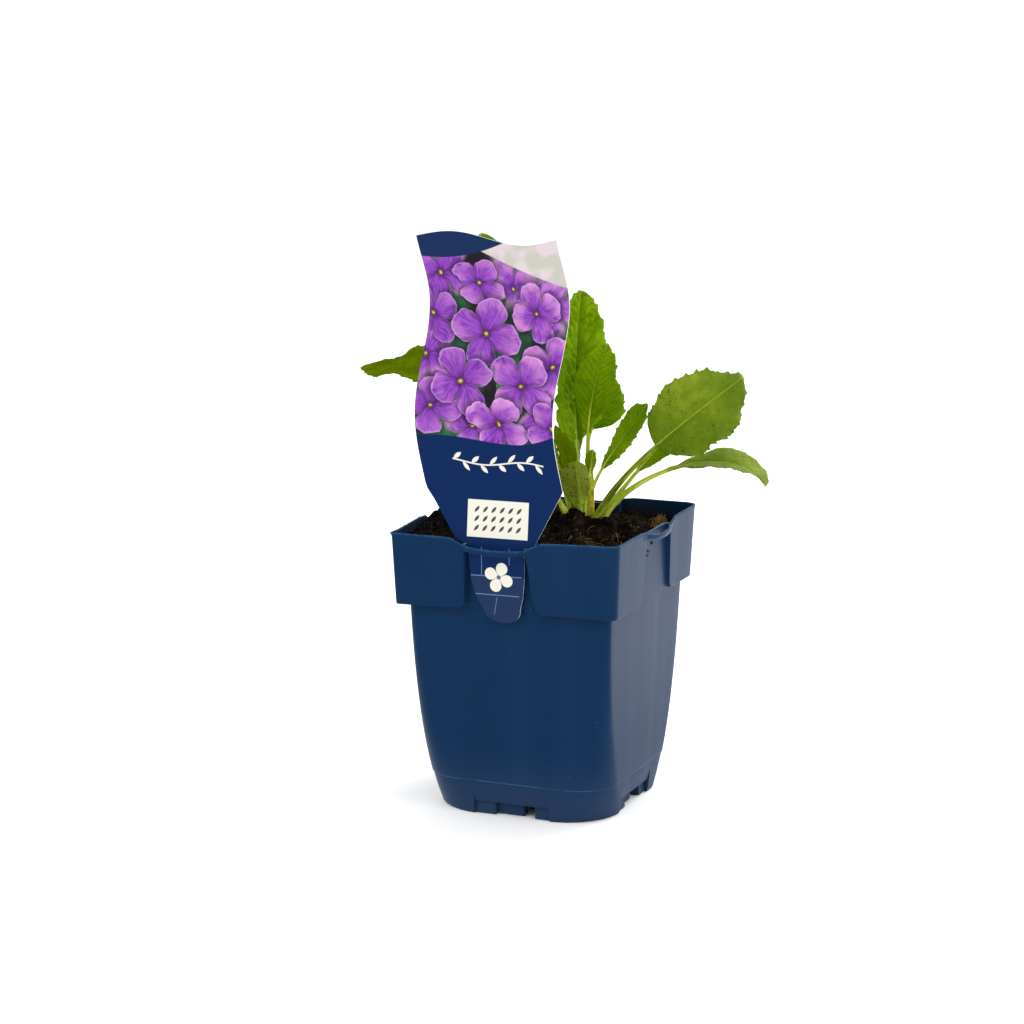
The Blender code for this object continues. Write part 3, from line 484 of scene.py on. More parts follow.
def lay_uv(mesh, name, u, v):
    """A UV map for both sides of a sheet, from two arrays that fit each other."""
    values = np.stack([part.ravel() for part in np.broadcast_arrays(u, v)], axis=1).astype(np.float32)
    corners = read(mesh.loops, "vertex_index", 1, np.int32)[:, 0]
    layer = mesh.uv_layers.new(name=name)
    layer.data.foreach_set("uv", np.concatenate([values, values])[corners].ravel())


def grid_faces(rows, columns, start=0, closed=False):
    """The quads of a grid of points, its columns closed into a ring or not."""
    row = np.arange(rows - 1)[:, None] * columns
    column = np.arange(columns if closed else columns - 1)[None, :]
    after = (column + 1) % columns
    quads = np.stack([row + column, row + after, row + columns + after, row + columns + column], axis=-1)
    return quads.reshape(-1, 4) + start


def sheet_faces(rows, columns):
    """The quads of a closed sheet: its front, its back and the four edges between them."""
    count = rows * columns
    faces = [grid_faces(rows, columns), grid_faces(rows, columns, start=count)[:, ::-1]]
    down = np.arange(rows - 1) * columns
    for first, order in ((0, 1), (columns - 1, -1)):
        a = down + first
        b = a + columns
        faces.append(np.stack([a, b, b + count, a + count], axis=1)[:, ::order])
    for first, order in ((0, -1), ((rows - 1) * columns, 1)):
        a = first + np.arange(columns - 1)
        faces.append(np.stack([a, a + 1, a + 1 + count, a + count], axis=1)[:, ::order])
    return np.concatenate(faces)


# Shader tools

class Tree:
    """Short ways to add the nodes of a material or a group and to join them."""

    def __init__(self, tree):
        self.nodes = tree.nodes
        self.links = tree.links

    def put(self, socket, value):
        if isinstance(value, bpy.types.NodeSocket):
            self.links.new(value, socket)
        elif value is not None:
            if socket.type == "RGBA" and len(value) == 3:
                value = (*value, 1.0)
            socket.default_value = value

    def node(self, kind, settings=None, inputs=None):
        node = self.nodes.new(kind)
        for key, value in (settings or {}).items():
            setattr(node, key, value)
        for key, value in (inputs or {}).items():
            self.put(node.inputs[key], value)
        return node

    def math(self, operation, *values):
        node = self.node("ShaderNodeMath", {"operation": operation})
        for socket, value in zip(node.inputs, values):
            self.put(socket, value)
        return node.outputs[0]

    def times(self, value, *others):
        """The product of two or more values."""
        for other in others:
            value = self.math("MULTIPLY", value, other)
        return value

    def plus(self, a, b):
        return self.math("ADD", a, b)

    def minus(self, a, b):
        return self.math("SUBTRACT", a, b)

    def times_plus(self, a, b, c):
        """The product of the first two values, plus the third."""
        return self.math("MULTIPLY_ADD", a, b, c)

    def absolute(self, value):
        return self.math("ABSOLUTE", value)

    def vector(self, operation, *values):
        node = self.node("ShaderNodeVectorMath", {"operation": operation})
        for socket, value in zip(node.inputs, values):
            self.put(socket, value)
        return node.outputs["Value" if operation == "LENGTH" else "Vector"]

    def step(self, value, low, high, to_low=0.0, to_high=1.0):
        """Smoothly from one value at low to another at high."""
        limits = {"Value": value, "From Min": low, "From Max": high, "To Min": to_low, "To Max": to_high}
        return self.node("ShaderNodeMapRange", {"interpolation_type": "SMOOTHSTEP"}, limits).outputs[0]

    def mix(self, share, a, b):
        """One colour over another by a share."""
        node = self.node("ShaderNodeMix", {"data_type": "RGBA"})
        self.put(node.inputs[0], share)
        self.put(node.inputs[6], a)
        self.put(node.inputs[7], b)
        return node.outputs[2]

    def place(self):
        return self.node("ShaderNodeTexCoord").outputs["Object"]

    def parts(self, vector):
        return self.node("ShaderNodeSeparateXYZ", None, {0: vector}).outputs

    def joined(self, x, y, z=0.0):
        return self.node("ShaderNodeCombineXYZ", None, {0: x, 1: y, 2: z}).outputs[0]

    def scaled(self, vector, size):
        return self.vector("MULTIPLY", vector, size)

    def noise(self, vector, scale, detail=3.0, rough=0.55):
        inputs = {"Vector": vector, "Scale": scale, "Detail": detail, "Roughness": rough}
        return self.node("ShaderNodeTexNoise", None, inputs).outputs[0]

    def cells(self, vector, scale, feature="F1"):
        """The distance to the middle or the edge of a cell."""
        node = self.node("ShaderNodeTexVoronoi", {"feature": feature}, {"Vector": vector, "Scale": scale})
        return node.outputs["Distance"]

    def attribute(self, name):
        """The red, green and blue parts of a colour attribute."""
        node = self.node("ShaderNodeAttribute", {"attribute_name": name})
        return self.node("ShaderNodeSeparateColor", None, {0: node.outputs["Color"]}).outputs

    def uv(self, name):
        return self.node("ShaderNodeUVMap", {"uv_map": name}).outputs[0]

    def bump(self, height, distance, strength):
        inputs = {"Height": height, "Distance": distance, "Strength": strength}
        return self.node("ShaderNodeBump", None, inputs).outputs[0]


def new_material(name, roughness, specular, viewport):
    material = bpy.data.materials.new(name)
    material.use_nodes = True
    material.diffuse_color = (*viewport, 1.0)
    shader = material.node_tree.nodes["Principled BSDF"]
    shader.inputs["Roughness"].default_value = roughness
    shader.inputs["Specular IOR Level"].default_value = specular
    return material, Tree(material.node_tree), shader


def dress(tree, shader, base, normal, rough=None):
    """Gives a shader its colour, its normal and, where that varies, its roughness."""
    tree.put(shader.inputs["Base Color"], base)
    tree.put(shader.inputs["Normal"], normal)
    tree.put(shader.inputs["Roughness"], rough)


DEEP_NAVY = (0.0012, 0.0178, 0.0560)
SOFT_NAVY = (0.0028, 0.0228, 0.0690)
REFLECTION_BAND_NAVY = (0.0080, 0.0320, 0.0880)
FLOOR_REFLECTION_NAVY = (0.0250, 0.0470, 0.0980)
LINE_BLUE = (0.0260, 0.1050, 0.2100)
# Light blue of the painted highlight on the rim's edges
GLINT_BLUE = (0.0300, 0.1150, 0.2350)
BLUE_SPECK = (0.03, 0.25, 0.45)
EARTH_SPECK = (0.12, 0.035, 0.012)
EARTH_DUST = (0.0150, 0.0125, 0.0120)


def pot_material():
    """Navy moulded plastic with soft bands and a lighter foot painted as reflection, a parting line, a
    painted highlight on the rim's edges, dust and specks of soil.
    """
    material, tree, shader = new_material("pot_navy", 0.40, 0.045, (0.01, 0.04, 0.11))
    shader.inputs["Sheen Weight"].default_value = 0.05
    shader.inputs["Sheen Roughness"].default_value = 0.40
    place = tree.place()
    bands = tree.noise(tree.scaled(place, (1.0, 1.0, 0.03)), 42.0, 2.0, 0.5)
    clouds = tree.noise(place, 18.0, 3.0, 0.6)
    base = tree.mix(clouds, DEEP_NAVY, SOFT_NAVY)
    # Soft lighter vertical bands: painted reflection
    base = tree.mix(tree.step(bands, 0.40, 0.75, 0.0, 0.30), base, REFLECTION_BAND_NAVY)
    x, y, z = tree.parts(place)[0:3]
    # Lighter towards the foot: painted reflection of the white floor
    base = tree.mix(tree.step(z, 0.036, 0.0, 0.0, 0.55), base, FLOOR_REFLECTION_NAVY)
    off_line = tree.absolute(tree.minus(z, PARTING_Z + 0.00005))
    broken = tree.step(tree.noise(place, 70.0, 2.0), 0.30, 0.55, 0.25, 0.85)
    line = tree.times(tree.step(off_line, 0.00038, 0.00016), broken)
    base = tree.mix(line, base, LINE_BLUE)
    # Lighter blue on the rim's outward edges, broken by noise: a painted highlight. The map's green part
    # marks the inner walls.
    glint_map = tree.attribute("glint_map")
    glint_breaks = tree.step(tree.noise(place, 700.0, 2.0), 0.38, 0.62, 0.25, 0.8)
    base = tree.mix(tree.times(glint_map[0], glint_breaks), base, GLINT_BLUE)
    dust = tree.cells(place, 60.0)
    base = tree.mix(tree.step(dust, 0.012, 0.007, 0.0, 0.8), base, BLUE_SPECK)
    earth = tree.cells(tree.vector("ADD", place, (0.31, 0.17, 0.05)), 58.0)
    base = tree.mix(tree.step(earth, 0.020, 0.012, 0.0, 0.9), base, EARTH_SPECK)
    dusty = tree.step(tree.noise(place, 120.0, 3.0), 0.30, 0.62, 0.15, 0.85)
    inner_walls = ((y, 0.0545, 0.0541), (y, -0.046, -0.040), (x, -0.0545, -0.0541), (x, 0.046, 0.040),
                   (z, 0.114, 0.121))
    for value, out, into in inner_walls:
        dusty = tree.times(dusty, tree.step(value, out, into))
    dusty = tree.times(dusty, tree.step(z, 0.1330, 0.1270, 0.35, 1.0))
    # Only on the inner walls, which the map's green part marks
    dusty = tree.times(dusty, glint_map[1])
    base = tree.mix(dusty, base, EARTH_DUST)
    rough = tree.step(bands, 0.3, 0.7, 0.36, 0.44)
    fine = tree.noise(place, 1500.0, 2.0)
    height = tree.plus(tree.times(clouds, 0.6), tree.times(fine, 0.10))
    height = tree.times_plus(bands, 2.4, height)
    dress(tree, shader, base, tree.bump(height, 0.0004, 0.3), rough)
    return material


def soil_material():
    """Nearly black peat of coarse and fine grain."""
    material, tree, shader = new_material("peat", 0.95, 0.04, (0.012, 0.009, 0.007))
    place = tree.place()
    coarse = tree.noise(place, 160.0, 5.0, 0.65)
    fine = tree.noise(place, 1100.0, 4.0, 0.7)
    base = tree.mix(tree.step(coarse, 0.40, 0.74), (0.0012, 0.0013, 0.0014), (0.0075, 0.0052, 0.0040))
    broad = tree.noise(place, 48.0, 3.0, 0.6)
    brown = tree.times(tree.step(broad, 0.46, 0.62, 0.0, 0.75), tree.step(coarse, 0.35, 0.60))
    base = tree.mix(brown, base, (0.0260, 0.0150, 0.0085))
    base = tree.mix(tree.step(fine, 0.60, 0.80, 0.0, 0.7), base, (0.0400, 0.0250, 0.0150))
    height = tree.plus(coarse, tree.times(fine, 0.5))
    dress(tree, shader, base, tree.bump(height, 0.0012, 0.9))
    return material


def crumb_material():
    """Crumbs, flakes and fibres, each piece of its own shade."""
    material, tree, shader = new_material("crumbs", 0.9, 0.08, (0.03, 0.02, 0.01))
    tone = tree.attribute("tone")
    grain = tree.noise(tree.place(), 1400.0, 3.0, 0.7)
    dark = tree.mix(grain, (0.0015, 0.0013, 0.0012), (0.0170, 0.0105, 0.0068))
    gold = tree.mix(grain, (0.190, 0.085, 0.022), (0.560, 0.320, 0.115))
    base = tree.mix(tone[0], dark, gold)
    dress(tree, shader, base, tree.bump(grain, 0.0005, 0.8))
    return material


def leaf_material(name, colours, specks=0.0, spots=0.0, clear=0.24, lines=1.0, specular=0.015, rib_end=0.30,
                  rib_colour=None, foot=None, fresh=None):
    """A leaf: netted veins with painted shade in their grooves and beside the midrib, a midrib that fades
    upward, a duller underside and light that shines through.

    The foot is a height and the colour of what lies below it. Fresh is the blade's colour next to the stalk.
    """
    top, light, under, stalk_dark, stalk_light = colours
    material, tree, shader = new_material(name, 0.5, specular, top)
    side, rib, share = tree.attribute("leaf_map")[0:3]
    vein = tree.parts(tree.uv("leaf_vein"))
    net = tree.uv("leaf_net")
    place = tree.place()
    off_vein = tree.absolute(tree.minus(tree.math("FRACT", vein[0]), 0.5))
    groove_shade = tree.step(off_vein, 0.30, 0.5)
    thin_vein = tree.step(off_vein, 0.43, 0.5)
    inside = tree.step(tree.absolute(vein[1]), 0.97, 0.70)
    blade = tree.step(share, 0.02, 0.055)
    inside = tree.times(inside, blade)
    thin_vein = tree.times(thin_vein, inside)
    mesh_lines = tree.step(tree.cells(net, 9.0, "DISTANCE_TO_EDGE"), 0.10, 0.0)
    broad = tree.noise(place, 45.0, 3.0, 0.55)
    mottled = tree.noise(place, 320.0, 3.0, 0.6)
    face = tree.mix(tree.step(broad, 0.35, 0.68), top, light)
    face = tree.mix(tree.step(mottled, 0.45, 0.75, 0.0, 0.35), face, light)
    back = tree.mix(tree.step(mottled, 0.35, 0.7, 0.0, 0.4), under, light)
    back = tree.mix(tree.step(broad, 0.42, 0.64, 0.0, 0.55), back, top)
    base = tree.mix(side, back, face)
    if fresh:
        base = tree.mix(tree.step(share, 0.02, 0.45, 0.85, 0.0), base, fresh)
        patches = tree.noise(tree.vector("ADD", place, (0.5, 0.1, 0.7)), 105.0, 4.0, 0.62)
        base = tree.mix(tree.step(patches, 0.46, 0.62, 0.0, 0.55), base, top)
    shade = tuple(c * 0.55 for c in top)
    # Darker colour along the vein grooves: painted shade
    base = tree.mix(tree.times(tree.times(groove_shade, inside), 0.22 * lines), base, shade)
    pale = (light[0] * 1.50, light[1] * 1.25, light[2] * 3 + 0.004)
    base = tree.mix(tree.times(thin_vein, 0.24 * lines), base, pale)
    base = tree.mix(tree.times(mesh_lines, 0.10 * lines), base, pale)
    # Darker strips on both sides of the midrib: a painted shadow of the blade's shoulders
    rib_shadow = tree.times(tree.step(rib, 0.02, 0.30), tree.step(rib, 0.80, 0.50))
    base = tree.mix(tree.times(rib_shadow, 0.40 * lines), base, shade)
    streaks = tree.noise(tree.scaled(net, (9.0, 0.6, 1.0)), 2.0, 2.0)
    stalk = tree.mix(tree.step(streaks, 0.35, 0.65), stalk_dark, stalk_light)
    if rib_colour:
        stalk = tree.mix(tree.step(share, 0.0, 0.08), stalk, rib_colour)
    fade = tree.step(share, 0.0, 0.60, 0.95, rib_end)
    base = tree.mix(tree.times(tree.step(rib, 0.45, 0.85), fade), base, stalk)
    if foot:
        below = tree.step(tree.parts(place)[2], foot[0] + 0.004, foot[0] - 0.004)
        base = tree.mix(below, base, foot[1])
    if specks:
        where = tree.step(tree.noise(place, 60.0, 2.0), 0.74 - 0.22 * specks, 0.80 - 0.22 * specks)
        where = tree.times(where, tree.step(share, 0.0, 0.04))
        fine_dots = tree.step(tree.noise(place, 1000.0, 1.0), 0.60, 0.67)
        moved = tree.vector("ADD", place, (0.4, 0.0, 0.2))
        wide_dots = tree.step(tree.noise(moved, 470.0, 2.0), 0.635, 0.675)
        dots = tree.times(tree.math("MAXIMUM", fine_dots, wide_dots), where)
        base = tree.mix(tree.times(dots, 0.80), base, (0.042, 0.024, 0.010))
        bigger = tree.step(tree.cells(tree.vector("ADD", place, (0.2, 0.1, 0.3)), 130.0), 0.075, 0.050)
        base = tree.mix(tree.times(bigger, min(1.0, specks)), base, (0.022, 0.012, 0.006))
    if spots:
        brown = tree.step(tree.noise(place, 420.0, 3.0), 0.56, 0.64)
        base = tree.mix(tree.times(brown, spots), base, (0.090, 0.030, 0.008))
    rough = tree.step(mottled, 0.3, 0.7, 0.38, 0.54)
    rough = tree.times(rough, tree.step(share, 0.06, 0.0, 1.0, 0.62))
    height = tree.minus(tree.times(mottled, 0.5), tree.times(mesh_lines, 0.35))
    height = tree.minus(height, tree.times(thin_vein, 0.8 * min(1.0, lines)))
    normal = tree.bump(height, 0.00034, 0.9)
    dress(tree, shader, base, normal, rough)
    through = tree.node("ShaderNodeBsdfTranslucent", None, {"Normal": normal})
    glow = tree.mix(tree.step(rib, 0.45, 0.85, 0.6, 0.0), base, (light[0] * 1.6, light[1] * 1.6, light[2]))
    tree.put(through.inputs["Color"], glow)
    joined = tree.node("ShaderNodeMixShader", None, {0: clear, 1: shader.outputs[0], 2: through.outputs[0]})
    tree.put(material.node_tree.nodes["Material Output"].inputs["Surface"], joined.outputs[0])
    return material


def crown_material():
    material, tree, shader = new_material("crown", 0.7, 0.25, (0.2, 0.2, 0.07))
    place = tree.place()
    scars = tree.noise(tree.scaled(place, (1.0, 1.0, 2.2)), 420.0, 4.0, 0.6)
    base = tree.mix(tree.step(scars, 0.35, 0.65), (0.060, 0.045, 0.018), (0.270, 0.300, 0.085))
    dress(tree, shader, base, tree.bump(scars, 0.0006, 0.8))
    return material


# The tag's print

PURPLE = (0.120, 0.018, 0.250)
VIOLET = (0.275, 0.070, 0.450)
PINK = (0.580, 0.250, 0.550)
NAVY = (0.0020, 0.0160, 0.0745)
LENS_NAVY = (0.0068, 0.0210, 0.0750)
TONGUE_BLUE = (0.0115, 0.0275, 0.0760)
CREAM = (0.66, 0.65, 0.56)


def flower_group():
    """A four-petalled flower printed over what lies below it. Its places and sizes are in millimetres."""
    group = bpy.data.node_groups.new("flower", "ShaderNodeTree")
    sockets = (("Below", "NodeSocketColor"), ("Place", "NodeSocketVector"), ("Middle", "NodeSocketVector"),
               ("Turn", "NodeSocketFloat"), ("Size", "NodeSocketFloat"), ("Squash", "NodeSocketFloat"),
               ("Blur", "NodeSocketFloat"), ("Pink", "NodeSocketFloat"))
    for name, kind in sockets:
        group.interface.new_socket(name=name, in_out="INPUT", socket_type=kind)
    group.interface.new_socket(name="Colour", in_out="OUTPUT", socket_type="NodeSocketColor")
    tree = Tree(group)
    given = tree.node("NodeGroupInput").outputs
    away = tree.vector("SUBTRACT", given["Place"], given["Middle"])
    inputs = {"Vector": away, "Angle": given["Turn"]}
    spun = tree.node("ShaderNodeVectorRotate", {"rotation_type": "Z_AXIS"}, inputs)
    x, y, _ = tree.parts(spun.outputs[0])[0:3]
    y = tree.math("DIVIDE", y, given["Squash"])
    x = tree.math("DIVIDE", x, given["Size"])
    y = tree.math("DIVIDE", y, given["Size"])
    reach = tree.vector("LENGTH", tree.joined(x, y))
    angle = tree.math("ARCTAN2", y, x)
    twice = tree.times(angle, 2.0)
    lobe = tree.math("POWER", tree.absolute(tree.math("COSINE", twice)), 0.42)
    rim = tree.times_plus(lobe, 0.68, 0.30)
    edge = tree.minus(rim, reach)
    shadow = tree.step(edge, -0.26, 0.0, 0.0, 0.62)
    below = tree.mix(shadow, given["Below"], (0.010, 0.006, 0.020))
    share = tree.math("DIVIDE", reach, rim)
    streak = tree.noise(tree.joined(tree.times(angle, 7.0), tree.times(reach, 1.1),
                                    tree.times(given["Turn"], 3.0)), 2.2, 3.0, 0.6)
    petal = tree.mix(tree.step(streak, 0.33, 0.68), PURPLE, VIOLET)
    outer = tree.times(tree.step(share, 0.30, 1.0), given["Pink"])
    soft = tree.noise(tree.vector("MULTIPLY", given["Place"], (0.11, 0.11, 0.11)), 1.0, 2.0)
    petal = tree.mix(tree.times(outer, tree.step(soft, 0.32, 0.62)), petal, PINK)
    cleft = tree.step(tree.absolute(tree.math("SINE", twice)), 0.86, 1.0, 0.0, 0.55)
    petal = tree.mix(cleft, petal, (0.040, 0.010, 0.090))
    petal = tree.mix(tree.step(reach, 0.30, 0.05, 0.0, 0.8), petal, (0.030, 0.008, 0.050))
    petal = tree.mix(tree.step(share, 0.93, 1.0, 0.0, 0.30), petal, (0.80, 0.55, 0.80))
    petal = tree.mix(tree.step(reach, 0.095, 0.065), petal, (0.12, 0.11, 0.03))
    petal = tree.mix(tree.step(reach, 0.050, 0.030), petal, (0.62, 0.42, 0.04))
    low = tree.times(given["Blur"], -1.0)
    cover = tree.step(edge, low, given["Blur"])
    out = tree.node("NodeGroupOutput")
    tree.put(out.inputs["Colour"], tree.mix(cover, below, petal))
    return group


# Flowers of the tag's picture from the furthest to the nearest: middle, turn, size, squash, blur, pinkness
FLOWERS = (
    ((-30.0, 251.0), 0.3, 16.0, 0.9, 0.30, 0.5),
    ((4.0, 246.0), 1.0, 14.0, 0.8, 0.34, 1.0),
    ((22.0, 238.0), 0.1, 17.0, 0.8, 0.30, 1.0),
    ((-38.0, 214.0), 0.6, 15.0, 1.0, 0.26, 0.9),
    ((20.0, 190.0), 0.9, 15.0, 0.9, 0.28, 0.9),
    ((-16.0, 183.0), 0.2, 13.0, 0.9, 0.24, 0.8),
    ((-12.0, 247.5), 0.5, 14.0, 0.74, 0.030, 0.5),
    ((15.5, 235.0), 1.25, 14.5, 0.86, 0.024, 0.8),
    ((-34.5, 232.5), 0.95, 15.0, 0.82, 0.024, 0.35),
    ((24.0, 211.0), 0.35, 16.0, 0.90, 0.020, 0.9),
    ((-36.0, 191.0), 0.15, 16.0, 0.85, 0.022, 0.4),
    ((-9.0, 225.0), 0.28, 17.5, 0.93, 0.016, 0.45),
    ((8.0, 202.0), 0.70, 17.5, 0.88, 0.016, 0.75),
    ((-21.0, 203.0), 1.12, 16.5, 0.95, 0.016, 0.35),
    ((-3.0, 184.0), 0.42, 16.0, 0.82, 0.016, 0.85),
    ((22.5, 184.0), 1.02, 13.0, 0.92, 0.020, 0.65),
)
# Where the cream field lies under the picture, in millimetres
FIELD_ASIDE = 2.9
FIELD_HEIGHT = 141.1
# How many of the flowers lie behind the stems, and the stems: place, slope, bend, half width and two ends
BLURRED_FLOWERS = 6
STEMS = ((-2.0, 0.045, 0.0, 1.5, -60.0, 30.0), (-3.5, -0.35, 0.004, 0.8, 0.0, 20.0),
         (-1.0, 0.62, -0.006, 0.7, 4.0, 22.0))


def line_share(tree, across, along, at, slope, bend, half, low, high):
    """A thin line across = at + slope along + bend along squared, between two ends."""
    curve = tree.times_plus(tree.times(along, along), bend, at)
    curve = tree.times_plus(along, slope, curve)
    off = tree.absolute(tree.minus(across, curve))
    ends = tree.times(tree.step(along, low - 0.3, low + 0.3), tree.step(along, high + 0.3, high - 0.3))
    return tree.times(tree.step(off, half + 0.12, half - 0.12), ends)


def tag_material():
    """The card's print: purple flowers over leaves, navy above and below, a blank white panel."""
    material, tree, shader = new_material("tag_print", 0.36, 0.05, (0.02, 0.03, 0.13))
    place = tree.scaled(tree.place(), (1000.0, 1000.0, 1000.0))
    x, _, z = tree.parts(place)[0:3]
    flat = tree.joined(x, z)
    warp = tree.node("ShaderNodeTexNoise", None, {"Vector": flat, "Scale": 0.13, "Detail": 2.0}).outputs[1]
    warp = tree.scaled(tree.vector("SUBTRACT", warp, (0.5, 0.5, 0.5)), (5.0, 5.0, 0.0))
    bent = tree.vector("ADD", flat, warp)
    broad = tree.noise(flat, 0.045, 3.0, 0.5)
    picture = tree.mix(tree.step(broad, 0.40, 0.60), (0.012, 0.010, 0.012), (0.020, 0.110, 0.040))
    group = flower_group()
    for number, (middle, turn, size, squash, blur, pink) in enumerate(FLOWERS):
        if number == BLURRED_FLOWERS:
            height = tree.minus(z, 212.0)
            for at, slope, bend, half, low, high in STEMS:
                stem = line_share(tree, x, height, at, slope, bend, half, low, high)
                picture = tree.mix(stem, picture, (0.045, 0.150, 0.060))
        node = tree.node("ShaderNodeGroup")
        node.node_tree = group
        given = {"Below": picture, "Place": bent, "Middle": (*middle, 0.0), "Turn": turn, "Size": size,
                 "Squash": squash, "Blur": blur, "Pink": pink}
        for key, value in given.items():
            tree.put(node.inputs[key], value)
        picture = node.outputs[0]
    sky_line = tree.times_plus(tree.math("POWER", tree.absolute(tree.minus(x, 34.0)), 1.35), 0.085, 246.5)
    haze = tree.step(tree.noise(flat, 0.10, 1.0), 0.42, 0.60)
    haze = tree.mix(haze, (0.44, 0.43, 0.38), (0.56, 0.48, 0.51))
    picture = tree.mix(tree.step(tree.minus(z, sky_line), -0.35, 0.35), picture, haze)
    lens = tree.plus(x, 33.0)
    lens = tree.times_plus(tree.times(lens, lens), 0.0072, 257.7)
    picture = tree.mix(tree.step(tree.minus(z, lens), -0.15, 0.15), picture, LENS_NAVY)
    wave = tree.math("COSINE", tree.times(tree.plus(x, 30.0), 2 * math.pi / 66))
    lift = tree.math("MAXIMUM", tree.minus(x, 5.0), 0.0)
    wave = tree.times_plus(wave, 1.1, tree.times(tree.times(lift, lift), 0.0093))
    wave = tree.plus(wave, 176.6)
    base = tree.mix(tree.step(tree.minus(z, wave), -0.15, 0.15), NAVY, picture)
    skew = tree.times_plus(z, -0.04, tree.plus(x, 5.8))
    aside = tree.plus(skew, FIELD_ASIDE)
    across = tree.step(tree.absolute(aside), 14.85, 14.65)
    tilt = tree.times_plus(x, -0.012, z)
    height = tree.minus(tilt, FIELD_HEIGHT)
    up = tree.step(tree.absolute(height), 8.7, 8.5)
    base = tree.mix(tree.times(across, up), base, CREAM)
    marks = leaf_marks(tree, aside, height, (4.08, 4.3), 0.9, (1.95, 0.72))
    within = tree.step(tree.absolute(aside), 12.34, 12.14)
    within = tree.times(within, tree.step(tree.absolute(height), 6.55, 6.35))
    base = tree.mix(tree.times(marks, within), base, (0.060, 0.060, 0.070))
    base = sprig(tree, base, x, z)
    base = tree.mix(tree.step(z, 115.5, 114.7), base, TONGUE_BLUE)
    lines = ((x, z, -11.0, 0.0, 0.0, 0.16, 115.0, 127.9), (x, z, 2.5, 0.0, 0.0, 0.16, 120.6, 128.1),
             (z, x, 115.1, 0.03, 0.0, 0.20, -16.6, 8.6), (z, x, 106.4, 0.01, 0.0, 0.20, -13.9, 7.4),
             (x, z, -18.4, 0.16, 0.0, 0.14, 97.4, 105.4))
    for across, along, at, slope, bend, half, low, high in lines:
        if across is x and slope:
            at = -3.4 - slope * 105.5
        share = line_share(tree, across, along, at, slope, bend, half, low, high)
        base = tree.mix(tree.times(share, 0.55), base, (0.20, 0.30, 0.52))
    base = star(tree, base, x, z)
    weave = tree.noise(tree.place(), 2200.0, 2.0)
    dress(tree, shader, base, tree.bump(weave, 0.00006, 0.35))
    return material


def leaf_marks(tree, u, v, pitch, tilt, halves, sides=False):
    """Slanted leaf shapes in rows, or alternately above and below a line at v = 0."""
    turn = tree.math("DIVIDE", u, pitch[0])
    du = tree.times(tree.minus(tree.math("FRACT", turn), 0.5), pitch[0])
    if sides:
        odd = tree.math("FLOORED_MODULO", tree.math("FLOOR", turn), 2.0)
        sign = tree.times_plus(odd, -2.0, 1.0)
        dv = tree.minus(tree.times(v, sign), pitch[1])
    else:
        rows = tree.math("FRACT", tree.plus(tree.math("DIVIDE", v, pitch[1]), 0.5))
        dv = tree.times(tree.minus(rows, 0.5), pitch[1])
    cos, sin = math.cos(tilt), math.sin(tilt)
    along = tree.plus(tree.times(du, cos), tree.times(dv, sin))
    aside = tree.minus(tree.times(dv, cos), tree.times(du, sin))
    long = tree.math("DIVIDE", along, halves[0])
    room = tree.minus(1.0, tree.times(long, long))
    wide = tree.times(room, halves[1])
    return tree.step(tree.minus(wide, tree.absolute(aside)), -0.05, 0.10)


def sprig(tree, below, x, z):
    """A plain white sprig under the picture: a waved stem with leaves on both sides."""
    wave = tree.times_plus(tree.math("SINE", tree.times(x, 0.16)), 1.1, 166.6)
    height = tree.minus(z, wave)
    ends = tree.times(tree.step(x, -25.2, -25.0), tree.step(x, 19.0, 18.8))
    stem = tree.step(tree.absolute(height), 0.42, 0.26)
    leaves = leaf_marks(tree, tree.plus(x, 25.0), height, (4.4, 1.95), 0.75, (2.5, 0.95), sides=True)
    white = tree.times(tree.math("MAXIMUM", stem, leaves), ends)
    return tree.mix(white, below, CREAM)


def star(tree, below, x, z):
    """A plain white four-petalled blossom on the tongue."""
    dx = tree.minus(x, -2.6)
    dz = tree.minus(z, 114.6)
    reach = tree.vector("LENGTH", tree.joined(dx, dz))
    angle = tree.times(tree.plus(tree.math("ARCTAN2", dz, dx), 0.35), 2.0)
    lobe = tree.math("POWER", tree.absolute(tree.math("COSINE", angle)), 0.5)
    edge = tree.minus(tree.times_plus(lobe, 5.2, 1.8), reach)
    white = tree.mix(tree.step(edge, -0.12, 0.12), below, CREAM)
    gaps = tree.step(tree.absolute(tree.math("SINE", angle)), 0.96, 1.0)
    gaps = tree.times(gaps, tree.step(edge, 0.0, 0.3))
    white = tree.mix(tree.times(gaps, 0.6), white, (0.20, 0.22, 0.24))
    return tree.mix(tree.step(reach, 1.15, 0.9), white, (0.10, 0.11, 0.14))


def card_material():
    material, tree, shader = new_material("tag_core", 0.5, 0.3, (0.8, 0.8, 0.8))
    grain = tree.noise(tree.place(), 1800.0, 2.0)
    base = tree.mix(grain, (0.70, 0.70, 0.70), (0.86, 0.86, 0.85))
    dress(tree, shader, base, tree.bump(grain, 0.00008, 0.4))
    return material


# Pot

def body_half(z):
    down = max(0.0, 1 - z / SKIRT_Z)
    half = BODY_HALF - BODY_TAPER * down - BODY_TUCK * down**TUCK_POWER
    if z < PARTING_Z:
        half -= PARTING_STEP
    return half


def body_radius(z):
    down = max(0.0, 1 - z / SKIRT_Z)
    return TOP_RADIUS + FOOT_RADIUS_GROWTH * down**RADIUS_POWER


def skirt_half(z):
    return SKIRT_HALF + (RIM_HALF - SKIRT_HALF) * (z - SKIRT_Z) / (RIM_HEIGHT - SKIRT_Z)


